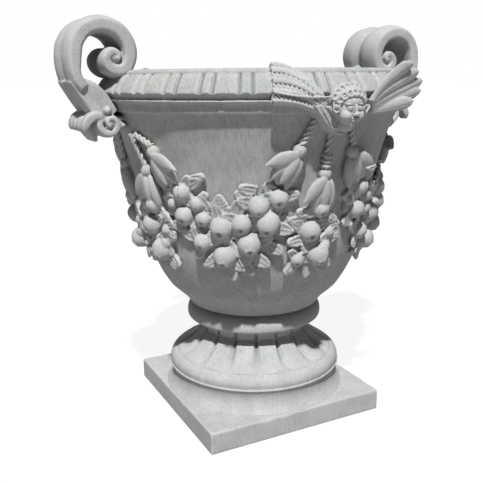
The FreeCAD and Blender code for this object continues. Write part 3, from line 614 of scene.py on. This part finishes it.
swag = make_swag()
for name, turn in (("swag_front_left", -40), ("swag_front_right", 40), ("swag_back_left", -140),
                   ("swag_back_right", 140)):
    piece(f"fruit_{name}", swag, "bowl", name, carved_concrete, turn)

# %% [markdown]
# ## Drops
# A drop is a short hanging bunch: a knob, a husk with its flap, and fruit and leaves below.

# %% Drops
DROP_FRUIT = [(0.5, 478, 34, "berry"), (-3.5, 436, 40, "berry"), (6.3, 430, 23, "lemon"),
              (1.4, 390, 44, "pomegranate"), (-8.1, 381, 27, "berry"), (4.6, 404, 26, "lemon")]
DROP_LEAVES = [(-4, 470, 30, 18, 80, 5), (-5, 448, 42, 26, 70, 6), (-6, 420, 34, 22, 95, 5),
               (-8, 372, 30, 20, 130, 5), (-2, 375, 34, 22, 175, 4), (5, 380, 32, 20, 225, 4),
               (4, 440, 34, 20, -80, 4), (5, 420, 30, 22, 265, 4), (3.4, 462, 30, 18, 250, 4)]


def make_drop():
    shape = bmesh.new()
    for angle, height, width, kind in DROP_FRUIT:
        fruit(shape, angle, height, width, kind, spin=angle * 4)
        stalk_leaves(shape, angle, height, width)
    for angle, height, length, width, spin, teeth in DROP_LEAVES:
        leaf(shape, angle, height, length, width, spin, 7, teeth, 3)
    husk(shape, (0.3, 544), 2, -1)
    backing(shape, [(0, 540 - 22 * step, 22 if step < 3 else 28) for step in range(8)])
    backing(shape, [(-7, 382, 20), (6, 424, 18), (-6, 445, 18)])
    return cast("drop", shape, 1.55)


drop = make_drop()
for name, turn in (("drop_front", 0), ("drop_back", 180), ("drop_left_front", -76),
                   ("drop_left_back", -104), ("drop_right_front", 76), ("drop_right_back", 104)):
    piece(f"fruit_{name}", drop, "bowl", name, carved_concrete, turn)

# %% [markdown]
# ## Ropes
# The knobs hang on short carved ropes. A rope is a three-lobed ring, extruded upwards step by step
# and turned a little at each step, so its strands wind round.

# %% Ropes
def rope(shape, start, end, radius, turns):
    """A wound rope between two points."""
    ring = bmesh.ops.create_circle(shape, cap_ends=False, segments=24, radius=1)["verts"]
    for vert in ring:
        vert.co *= radius * (0.82 + 0.26 * math.cos(3 * math.atan2(vert.co.y, vert.co.x)))
    axis = end - start
    place = Matrix.Translation(start) @ axis.to_track_quat("Z", "Y").to_matrix().to_4x4()
    bmesh.ops.transform(shape, matrix=place, verts=ring)
    edges = list({edge for vert in ring for edge in vert.link_edges})
    bmesh.ops.holes_fill(shape, edges=edges, sides=0)
    steps = 48
    spin = Matrix.Rotation(math.tau * turns / steps, 3, axis)
    for step in range(steps):
        grown = bmesh.ops.extrude_edge_only(shape, edges=edges)["geom"]
        verts = [part for part in grown if isinstance(part, bmesh.types.BMVert)]
        edges = [part for part in grown if isinstance(part, bmesh.types.BMEdge)
                 and all(vert in verts for vert in part.verts)]
        centre = start + axis * (step / steps)
        bmesh.ops.rotate(shape, cent=centre, matrix=spin, verts=verts)
        bmesh.ops.translate(shape, vec=axis / steps, verts=verts)
    bmesh.ops.holes_fill(shape, edges=edges, sides=0)


def rope_point(angle, height, lift):
    return on_wall(angle, height, lift).translation


def make_front_ropes():
    shape = bmesh.new()
    for side in (-1, 1):
        rope(shape, rope_point(side * 11.5, 595, 7), rope_point(side * 7, 641, 5), 6.8, 1.5)
    rope(shape, rope_point(0, 552, 7), rope_point(0, 626, 5), 6.8, 1.8)
    for height in (560, 569, 578):
        ball(shape, on_wall(0, height, 7), lambda p: Vector((p.x * 10.4, p.y * 4.8, p.z * 10.4)), 3)
    bmesh.ops.recalc_face_normals(shape, faces=shape.faces)
    return cast("ropes", shape, 1.15)


def make_side_ropes():
    shape = bmesh.new()
    for side in (-1, 1):
        rope(shape, rope_point(-90 + side * 21.5, 593, 7), rope_point(-90 + side * 12.6, 613, 5), 6.2, 1.3)
        rope(shape, rope_point(-90 + side * 14, 552, 7), rope_point(-90 + side * 9.4, 613, 5), 6.2, 1.6)
    bmesh.ops.recalc_face_normals(shape, faces=shape.faces)
    return cast("side_ropes", shape, 1.15)


front_ropes, side_ropes = make_front_ropes(), make_side_ropes()
for name, mesh, turn in (("ropes_front", front_ropes, 0), ("ropes_back", front_ropes, 180),
                         ("ropes_left", side_ropes, 0), ("ropes_right", side_ropes, 180)):
    piece(f"wound_{name}", mesh, "bowl", name, carved_concrete, turn)

# %% [markdown]
# ## Handles
# Each handle is a broad band that rolls up into a volute on the rim and, below a notch, runs on as a
# leafed arm into a smaller volute against the wall. A section is carried along a bent line for this:
# a grid is bent to the line and its long sides are joined. The band's outside is two soft rolls with
# a crease between them, and because the sides are rounded, the turns of a volute show as a spiral
# groove on the side face. Leaf fingers and a hanging tip sit on the lower curl.

# %% Handles
VOLUTE = (306, 746)
LOW_VOLUTE = (322, 629)


def smooth_line(points, steps):
    """Points of a smooth curve through given rows of numbers."""
    line = []
    last = len(points) - 1
    for step in range(steps + 1):
        index = min(int(step / steps * last), last - 1)
        t = step / steps * last - index
        rows = (points[max(0, index - 1)], points[index], points[index + 1], points[min(last, index + 2)])
        line.append([b + 0.5 * t * (c - a + t * (2 * a - 5 * b + 4 * c - d + t * (3 * (b - c) + d - a)))
                     for a, b, c, d in zip(*rows)])
    return line


def carried(shape, steps, around, point):
    """A closed tube bent from a grid, whose places come from point(along, turn)."""
    made = bmesh.ops.create_grid(shape, x_segments=around, y_segments=steps, size=0.5)["verts"]
    for vert in made:
        vert.co = point(vert.co.y + 0.5, (vert.co.x + 0.5) * math.tau)
    faces = {face for vert in made for face in vert.link_faces}
    bmesh.ops.remove_doubles(shape, verts=made, dist=0.01)
    faces = [face for face in faces if face.is_valid]
    ends = list({edge for face in faces for edge in face.edges if edge.is_boundary})
    faces += bmesh.ops.holes_fill(shape, edges=ends, sides=0)["faces"]
    bmesh.ops.recalc_face_normals(shape, faces=faces)


def band(shape, points, steps, crease=0.0, across=0.0):
    """A band in the handle's side view: rows of reach, height, half thickness and half width."""
    line = smooth_line(points, steps)

    def point(along, turn):
        index = min(steps, max(0, round(along * steps)))
        reach, level, half, width = line[index]
        before, after = line[max(0, index - 1)], line[min(steps, index + 1)]
        way = Vector((after[0] - before[0], after[1] - before[1])).normalized()
        c, s = math.cos(turn), math.sin(turn)
        side = width * math.copysign(abs(c) ** 0.4, c)
        out = half * math.copysign(abs(s) ** 0.36, s)
        if s > 0 and crease:
            share = abs(side) / width
            out -= half * abs(s) ** 0.36 * 0.24 * (1 - math.sin(math.pi * min(1, share)))
            out -= crease * (bump_of(side, 3.5) + 0.35 * bump_of(side - 15, 2) + 0.35 * bump_of(side + 15, 2))
        return Vector((reach - way.y * out, across + side, level + way.x * out))

    carried(shape, steps, 96 if crease else 40, point)


def coil(middle, level, rows):
    """Rows of a spiral: turn in degrees, radius, half thickness and half width."""
    return [(middle + radius * math.cos(math.radians(turn)), level + radius * math.sin(math.radians(turn)),
             half, width) for turn, radius, half, width in rows]


def make_handle():
    shape = bmesh.new()
    scroll = coil(*VOLUTE, [(600, 2.6, 4.8, 61.5), (560, 4.2, 5.4, 61.5), (520, 6.2, 6.2, 61),
                            (480, 8.8, 7.2, 60.5), (440, 11.4, 8.2, 60), (400, 13.8, 9.4, 60),
                            (360, 16.4, 10.4, 60), (330, 18.6, 11.2, 60), (300, 20.8, 12, 60),
                            (270, 22.8, 12.8, 60.5), (240, 24.8, 13.8, 61), (210, 26.8, 14.8, 61)])
    scroll += coil(328, 753, [(180, 51, 15.6, 61), (155, 51, 16, 61), (125, 51, 16, 61.5), (90, 51, 16, 61.5),
                              (55, 51, 16, 61.5), (25, 51, 16, 61.5), (0, 51.4, 15.8, 61.5)])
    scroll += [(380.4, 736, 14.6, 61.5), (380, 722, 12.6, 61.5), (375, 706, 12.4, 61),
               (366, 694, 11, 60)]
    band(shape, scroll, 190, 4.6)
    arm = [(388, 706, 2.4, 50), (382, 699, 6, 52), (369, 685, 11, 53), (356, 668, 13, 53),
           (346, 653, 12, 54)]
    arm += coil(*LOW_VOLUTE, [(35, 20, 8.5, 56), (0, 19.4, 8.2, 57), (-45, 18.4, 8, 57.5),
                              (-90, 17.4, 7.8, 57.5), (-135, 16.2, 7.4, 57.5), (-180, 15, 7, 58),
                              (-225, 13.4, 6.6, 58), (-270, 11.4, 6.2, 58.5), (-295, 9, 5.6, 59),
                              (-320, 6, 4.6, 59), (-360, 4.2, 4.4, 59.5), (-420, 2.4, 4.4, 60),
                              (-480, 1.4, 4.2, 60)])
    band(shape, arm, 130, 2.4)
    finger = [(336, 644, 5, 12), (350, 644, 8, 14), (361, 637, 8.4, 14), (367, 626, 7, 13),
              (367, 616, 4, 9)]
    hanging_tip = [(352, 634, 4, 10), (353, 620, 7, 12), (347, 608, 6, 11), (342, 597, 3, 6)]
    for side in (-45, -15, 15, 45):
        band(shape, finger, 24, 0, side)
        band(shape, hanging_tip, 20, 0, side * 0.5)
    for side in (-54, 54):
        ball(shape, Matrix.Translation((325, side, 654)), lambda p: Vector((p.x * 6, p.y * 6, p.z * 6)), 3)
    ball(shape, Matrix.Translation((303, 0, 625)), lambda p: Vector((p.x * 22, p.y * 57, p.z * 11)), 4)
    band(shape, [(373, 705, 9, 54), (353, 691, 17, 54), (335, 670, 20, 52), (316, 645, 16, 50)], 30)
    ball(shape, Matrix.Translation((286, 0, 727)), lambda p: Vector((p.x * 20, p.y * 57, p.z * 10)), 4)
    for (reach, level), radius, width in ((VOLUTE, 13, 59), (LOW_VOLUTE, 10.5, 57.5)):
        ball(shape, Matrix.Translation((reach, 0, level)), lambda p, r=radius, w=width: Vector((
            p.x * r, math.copysign(abs(p.y) ** 0.35, p.y) * w, p.z * r)), 5)
    return cast("handle", shape, 1.9)


handle = make_handle()
for name, turn in (("handle_right", 0), ("handle_left", 180)):
    piece(f"scroll_{name}", handle, "bowl", name, carved_concrete, turn)

# %% [markdown]
# ## Wings
# On each side of a mask a wing lies on the rim. Its feathers start close together beside the head and
# spread outwards. On one side they end square and have a barbed lower half, on the other they fan up
# with round tips. A feather is a grid bent along a curve on the rim and arched across, with strokes
# pressed into it for the barbs.

# %% Wings
RIM_FACE = [(630, 312), (660, 319), (684, 321), (695, 315.5), (707, 307), (716, 297), (725, 290),
            (745, 283)]
MEAN_REACH = 312
FLARED_REACH = 322


def rim_reach(height):
    for (bottom, low), (top, high) in zip(RIM_FACE, RIM_FACE[1:]):
        if height <= top:
            return low + (high - low) * max(0, height - bottom) / (top - bottom)
    return RIM_FACE[-1][1]


def feather(shape, base, bend, tip, widths, lift, square, flare):
    """A feather along a curve on the rim. Places are angle and height; the right side is positive."""
    made = bmesh.ops.create_grid(shape, x_segments=22, y_segments=90, size=0.5)["verts"]
    scale = math.radians(1) * MEAN_REACH

    def line(v):
        return Vector([(1 - v) ** 2 * a + 2 * v * (1 - v) * b + v ** 2 * c
                       for a, b, c in zip(base, bend, tip)])

    for vert in made:
        across, along = vert.co.x * 2, vert.co.y + 0.5
        place = line(along)
        way = line(min(1, along + 0.01)) - line(max(0, along - 0.01))
        way = Vector((way.x * scale, way.y)).normalized()
        half = (widths[0] + (widths[1] - widths[0]) * along ** 0.8) / 2
        if not square:
            half *= math.sqrt(max(0.01, 1 - max(0, (along - 0.86) / 0.14) ** 2))
        angle = place.x - way.y * across * half / scale
        height = place.y + way.x * across * half
        relief = 6.6 * (1 - across ** 2) ** 0.6 * (0.5 + 0.5 * along)
        if square and across < 0.1:
            web = min(1, (0.1 - across) * 4)
            strokes = math.cos(math.tau * (along * 14 + across * 1.2))
            relief += web * (2.6 * strokes - 3.2) * min(1, along * 4)
        elif across < -0.15:
            relief -= 0.8 * bump_of(across + 0.3, 0.1)
        out = rim_reach(height) * (1 - flare) + FLARED_REACH * flare
        out += lift + relief + 40 * flare * along ** 1.6
        turn = math.radians(angle)
        vert.co = Vector((out * math.sin(turn), -out * math.cos(turn), height))
    faces = list({face for vert in made for face in vert.link_faces})
    bmesh.ops.recalc_face_normals(shape, faces=faces)
    outward = sum(face.normal.dot(face.calc_center_median().xyz * Vector((1, 1, 0))) for face in faces)
    if outward < 0:
        bmesh.ops.reverse_faces(shape, faces=faces)
    bmesh.ops.solidify(shape, geom=faces, thickness=9)


def make_wing(side, square):
    shape = bmesh.new()
    for row in range(4 if square else 5):
        if square:
            tip = (22.2, 674.5 + 17 * row)
            bend = (13 - 0.4 * row, tip[1] + 1)
            base = (5.4 + 0.3 * row, 644 + 7 * row)
            widths = (8, 18.5)
        else:
            tip = [(21.5, 668), (25, 686), (25.4, 702), (22.6, 718), (18.8, 731)][row]
            bend = [(15, 655), (16, 664), (15.6, 676), (14.2, 690), (12.5, 702)][row]
            base = (10.5 - 0.3 * row, 652 + 4 * row)
            widths = (10, 25)
        points = [(side * angle, height) for angle, height in (base, bend, tip)]
        lift = 2 + (0.5 if square else 2) * row
        feather(shape, *points, widths, lift, square, 0 if square else 0.9)
    if square:
        def cord(along, turn):
            angle = math.radians(side * (22.4 - 17.6 * along))
            height = 687 - 9 * along - 4 * math.sin(math.pi * along)
            out = 329 + 1.6 * math.cos(turn)
            return Vector((out * math.sin(angle), -out * math.cos(angle), height + 1.6 * math.sin(turn)))
        carried(shape, 60, 10, cord)
    return cast("wing", shape, 1.1)


square_wing, round_wing = make_wing(-1, True), make_wing(1, False)
for name, mesh, turn in (("wing_front_left", square_wing, 0), ("wing_back_right", square_wing, 180),
                         ("wing_front_right", round_wing, 0), ("wing_back_left", round_wing, 180)):
    piece(f"feathered_{name}", mesh, "bowl", name, carved_concrete, turn)

# %% [markdown]
# ## Masks
# A small child's head leans out from the rim, looking a little down. The face is a plain, calm one,
# built up from balls by the usual proportions of a child's head: eyes below the middle, full cheeks,
# small nose and chin. The hair is two rows of ring curls with a cord between them.

# %% Masks
FACING_FRONT = Matrix(((1, 0, 0), (0, 0, -1), (0, 1, 0))).to_4x4()
HEAD = Matrix.Translation((4, -328, 664)) @ Matrix.Scale(1.2, 4) @ FACING_FRONT \
    @ Matrix.Rotation(math.radians(4), 4, "X")
FACE = [((0, 3, -6), (24, 27, 20)), ((0, -6, 3), (19, 22, 14.5)), ((0, 5, 7), (17, 10, 12)),
        ((0, -17, 6), (13, 11, 11)), ((0, -24, 10.5), (6, 5, 6)), ((0, -27, -4), (13, 11, 13)),
        ((0, -4, 18.4), (2.6, 7, 4.2)), ((0, -10, 22.6), (3.8, 3.2, 3.8))]
PAIRS = [((10, -13, 10.5), (9, 8.5, 9)), ((7.8, 2.6, 15.2), (6.6, 1.9, 3)),
         ((8, -3.4, 15), (4.4, 3.5, 4.3)), ((8, -1.4, 15.4), (4.9, 1.4, 4.3)),
         ((8, -6.2, 14.2), (4.4, 0.9, 3.6)), ((3.1, -10.8, 21), (2.4, 2, 2.6)),
         ((2.4, -16.4, 17.8), (3.4, 1.5, 2.4)), ((1.6, -19.4, 17.2), (3.2, 1.8, 2.6))]


def ring_curl(shape, place, size):
    """A curl of hair: a ring with a small knot in it."""
    carried(shape, 40, 12, lambda along, turn: place @ Vector((
        (size + 0.38 * size * math.cos(turn)) * math.cos(along * math.tau),
        (size + 0.38 * size * math.cos(turn)) * math.sin(along * math.tau),
        0.6 * size * math.sin(turn))))
    ball(shape, place, lambda p: p * size * 0.3, 2)


def facing(centre, out):
    return HEAD @ Matrix.Translation(centre) @ Vector(out).to_track_quat("Z", "Y").to_matrix().to_4x4()


def make_mask():
    shape = bmesh.new()
    forms = FACE + [((side * x, y, z), radii) for (x, y, z), radii in PAIRS for side in (-1, 1)]
    for centre, radii in forms:
        ball(shape, HEAD @ Matrix.Translation(centre),
             lambda p, r=radii: Vector(p[i] * r[i] for i in range(3)))
    ball(shape, HEAD @ Matrix.Translation((0, 5, -9)), lambda p: Vector((p.x * 26, p.y * 23, p.z * 20)))
    for step in range(-5, 6):
        a = math.radians(step * 20)
        ring_curl(shape, facing((23 * math.sin(a), -1 + 18.6 * math.cos(a), 14.5 - 9 * math.sin(a) ** 2),
                                (0.7 * math.sin(a), 0.5 * math.cos(a), 0.8)), 4.4)
    for step in range(-4, 5):
        a = math.radians(step * 18 + 4)
        ring_curl(shape, facing((26 * math.sin(a), 3 + 23 * math.cos(a), 4),
                                (math.sin(a), math.cos(a), 0.75)), 4.4)

    def cord(along, turn):
        a = math.radians(-105 + 210 * along)
        middle = Vector((26.5 * math.sin(a), 1.5 + 21.4 * math.cos(a), 11.4 - 8 * math.sin(a) ** 2))
        out = Vector((math.sin(a), math.cos(a), 0))
        return HEAD @ (middle + out * 1.7 * math.cos(turn) + Vector((0, 0, 1.7 * math.sin(turn))))

    carried(shape, 60, 12, cord)
    return cast("mask", shape, 0.95)


mask = make_mask()
for name, turn in (("mask_front", 0), ("mask_back", 180)):
    piece(f"child_{name}", mask, "bowl", name, carved_concrete, turn)

# %% [markdown]
# ## Aprons
# Under each head a pointed bracket carries it down to the wall. Its edge is a double raised line, and
# crossed bands run down beside the neck to a small ring. The front is a grid bent to the bracket's
# curve, and its back is pushed into the wall.

# %% Aprons
APRON = [(664, 60, 320, 325), (652, 50, 320, 325), (639, 38, 318, 323), (626, 24, 314, 319),
         (613, 3, 309, 313)]
APRON_BACK = -278


def apron_point(across, along, lift=0.0):
    rows = along * (len(APRON) - 1)
    index = min(int(rows), len(APRON) - 2)
    level, half, side, middle = [a + (b - a) * (rows - index) for a, b in zip(APRON[index], APRON[index + 1])]
    return Vector((half * across, -(side + (middle - side) * (1 - across ** 2)) - lift, level))


def make_apron():
    shape = bmesh.new()
    made = bmesh.ops.create_grid(shape, x_segments=80, y_segments=60, size=0.5)["verts"]
    for vert in made:
        across, along = vert.co.x * 2, 0.5 - vert.co.y
        edge = min(1 - abs(across), (1 - along) * 0.9)
        lines = 4.4 * bump_of(edge - 0.05, 0.05) + 3.6 * bump_of(edge - 0.22, 0.05)
        vert.co = apron_point(across, along, lines - 5 * min(1, max(0, edge - 0.28) * 4))
    faces = list({face for vert in made for face in vert.link_faces})
    grown = bmesh.ops.solidify(shape, geom=faces, thickness=1)["geom"]
    for part in grown:
        if isinstance(part, bmesh.types.BMVert) and part not in made:
            part.co.y = APRON_BACK
    bmesh.ops.recalc_face_normals(shape, faces=shape.faces)
    for side in (-1, 1):
        for shift in (0, 0.14):
            def strip(along, turn, side=side, shift=shift):
                middle = apron_point(side * (0.62 - shift - 0.5 * along), 0.02 + 0.56 * along, -1.5)
                return middle + Vector((4.2 * math.cos(turn), -3 * math.sin(turn), 0))
            carried(shape, 30, 16, strip)
    ring_curl(shape, Matrix.Translation(apron_point(0, 0.56, -1)) @ Matrix.Rotation(math.radians(70), 4, "X")
              @ Matrix.Scale(1.4, 4, (1, 0, 0)), 4.2)
    return cast("apron", shape, 1.25)


apron = make_apron()
for name, turn in (("apron_front", 0), ("apron_back", 180)):
    piece(f"pointed_{name}", apron, "bowl", name, carved_concrete, turn)

# %% [markdown]
# ## Beds, drain and dowels
# Mortar beds join plinth, foot and ring, a grey pipe lines the drain and steel dowels stand in the
# seat. The solids themselves are shown here, because such pieces are plain, and they get finishes of
# their own: sandy mortar, a pipe dulled by lime, and rods with spots of rust. One group makes the
# spots for pipe and rods.

# %% Beds, drain and dowels
def make_spot_group():
    group = bpy.data.node_groups.new("spots", "ShaderNodeTree")
    for name, kind in (("Coordinates", "NodeSocketVector"), ("Tone", "NodeSocketColor"),
                       ("Spots", "NodeSocketColor")):
        group.interface.new_socket(name, in_out="INPUT", socket_type=kind)
    for name, kind in (("Color", "NodeSocketColor"), ("Roughness", "NodeSocketFloat")):
        group.interface.new_socket(name, in_out="OUTPUT", socket_type=kind)
    taken, given = group.nodes.new("NodeGroupInput"), group.nodes.new("NodeGroupOutput")
    mask = ramp(group, noise_field(group, taken.outputs["Coordinates"], 160, 6), (0.46, 0.62, 0, 0.9))
    colour = mix_colours(group, mask, taken.outputs["Tone"], taken.outputs["Spots"])
    group.links.new(colour, given.inputs["Color"])
    group.links.new(ramp(group, mask, (0, 1, 0.38, 0.85)), given.inputs["Roughness"])
    return group


spot_group = make_spot_group()


def spotted(name, tone, spots, metallic):
    material = bpy.data.materials.new(name)
    material.use_nodes = True
    nodes, links = material.node_tree.nodes, material.node_tree.links
    shader = nodes["Principled BSDF"]
    shader.inputs["Metallic"].default_value = metallic
    finish = nodes.new("ShaderNodeGroup")
    finish.node_tree = spot_group
    finish.inputs["Tone"].default_value = tone
    finish.inputs["Spots"].default_value = spots
    links.new(nodes.new("ShaderNodeTexCoord").outputs["Object"], finish.inputs["Coordinates"])
    links.new(finish.outputs["Color"], shader.inputs["Base Color"])
    links.new(finish.outputs["Roughness"], shader.inputs["Roughness"])
    return material


pipe_grey = spotted("pipe_grey", (0.06, 0.06, 0.065, 1), (0.3, 0.3, 0.29, 1), 0)
rusty_steel = spotted("rusty_steel", (0.5, 0.5, 0.5, 1), (0.17, 0.08, 0.04, 1), 0.6)
for node, finish in (("plinth_bed", mortar), ("neck_bed", mortar), ("drain_tube", pipe_grey),
                     ("seat_dowels", rusty_steel), ("handle_dowels_left", rusty_steel),
                     ("handle_dowels_right", rusty_steel)):
    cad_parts[node].data.materials.clear()
    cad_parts[node].data.materials.append(finish)
print("hidden fixings finished")

# %% [markdown]
# ## Floor and light
# A pale floor and a plain soft light. One key stands high behind the camera, so the rim and the fruit
# throw their shadows down the wall. Light from the floor and an even pale surround fills them, and a
# weak, very broad lamp behind keeps the back readable. The surround and the floor are white to the
# camera, and the floor keeps the shadow. To all other rays they are dimmer, so the hollows of the
# carving stay dark.

# %% Floor and light
def camera_share(nodes, links, share):
    """A share for camera rays, zero for all other rays."""
    path = nodes.new("ShaderNodeLightPath")
    value = nodes.new("ShaderNodeMath")
    value.operation = "MULTIPLY"
    value.inputs[1].default_value = share
    links.new(path.outputs["Is Camera Ray"], value.inputs[0])
    return value.outputs[0]


def make_floor():
    shape = bmesh.new()
    bmesh.ops.create_grid(shape, x_segments=1, y_segments=1, size=60)
    mesh = to_mesh("floor", shape)
    floor = bpy.data.objects.new("floor", mesh)
    bpy.context.scene.collection.objects.link(floor)
    material = bpy.data.materials.new("pale_floor")
    material.use_nodes = True
    nodes, links = material.node_tree.nodes, material.node_tree.links
    shader = nodes["Principled BSDF"]
    shader.inputs["Base Color"].default_value = (0.36, 0.36, 0.36, 1)
    shader.inputs["Roughness"].default_value = 0.95
    shader.inputs["Specular IOR Level"].default_value = 0
    glow = nodes.new("ShaderNodeEmission")
    glow.inputs["Strength"].default_value = 1.16
    blend = nodes.new("ShaderNodeMixShader")
    links.new(camera_share(nodes, links, 0.78), blend.inputs[0])
    links.new(shader.outputs[0], blend.inputs[1])
    links.new(glow.outputs[0], blend.inputs[2])
    links.new(blend.outputs[0], nodes["Material Output"].inputs["Surface"])
    mesh.materials.append(material)


def make_lamp(name, turn, rise, strength, softness):
    """A broad, distant lamp at a turn from the front and a rise above the ground."""
    data = bpy.data.lights.new(name, "SUN")
    data.energy = strength
    data.angle = math.radians(softness)
    data.color = (1, 0.99, 0.97)
    lamp = bpy.data.objects.new(name, data)
    bpy.context.scene.collection.objects.link(lamp)
    turn, rise = math.radians(turn), math.radians(rise)
    towards = Vector((math.sin(turn) * math.cos(rise), -math.cos(turn) * math.cos(rise), math.sin(rise)))
    lamp.rotation_euler = (-towards).to_track_quat("-Z", "Y").to_euler()


make_floor()
make_lamp("key", turn=-30, rise=57, strength=5.2, softness=2.2)
make_lamp("back_fill", turn=150, rise=35, strength=0.8, softness=70)
world = bpy.data.worlds.new("studio")
bpy.context.scene.world = world
world.use_nodes = True
nodes, links = world.node_tree.nodes, world.node_tree.links
fill = nodes["Background"]
fill.inputs["Color"].default_value = (0.93, 0.97, 1, 1)
fill.inputs["Strength"].default_value = 0.06
white = nodes.new("ShaderNodeBackground")
white.inputs["Color"].default_value = (1, 1, 1, 1)
white.inputs["Strength"].default_value = 1
either = nodes.new("ShaderNodeMixShader")
links.new(camera_share(nodes, links, 1), either.inputs[0])
links.new(fill.outputs[0], either.inputs[1])
links.new(white.outputs[0], either.inputs[2])
links.new(either.outputs[0], nodes["World Output"].inputs["Surface"])
bpy.context.scene.view_settings.view_transform = "Standard"
print("lamps", [lamp.name for lamp in bpy.data.lights])
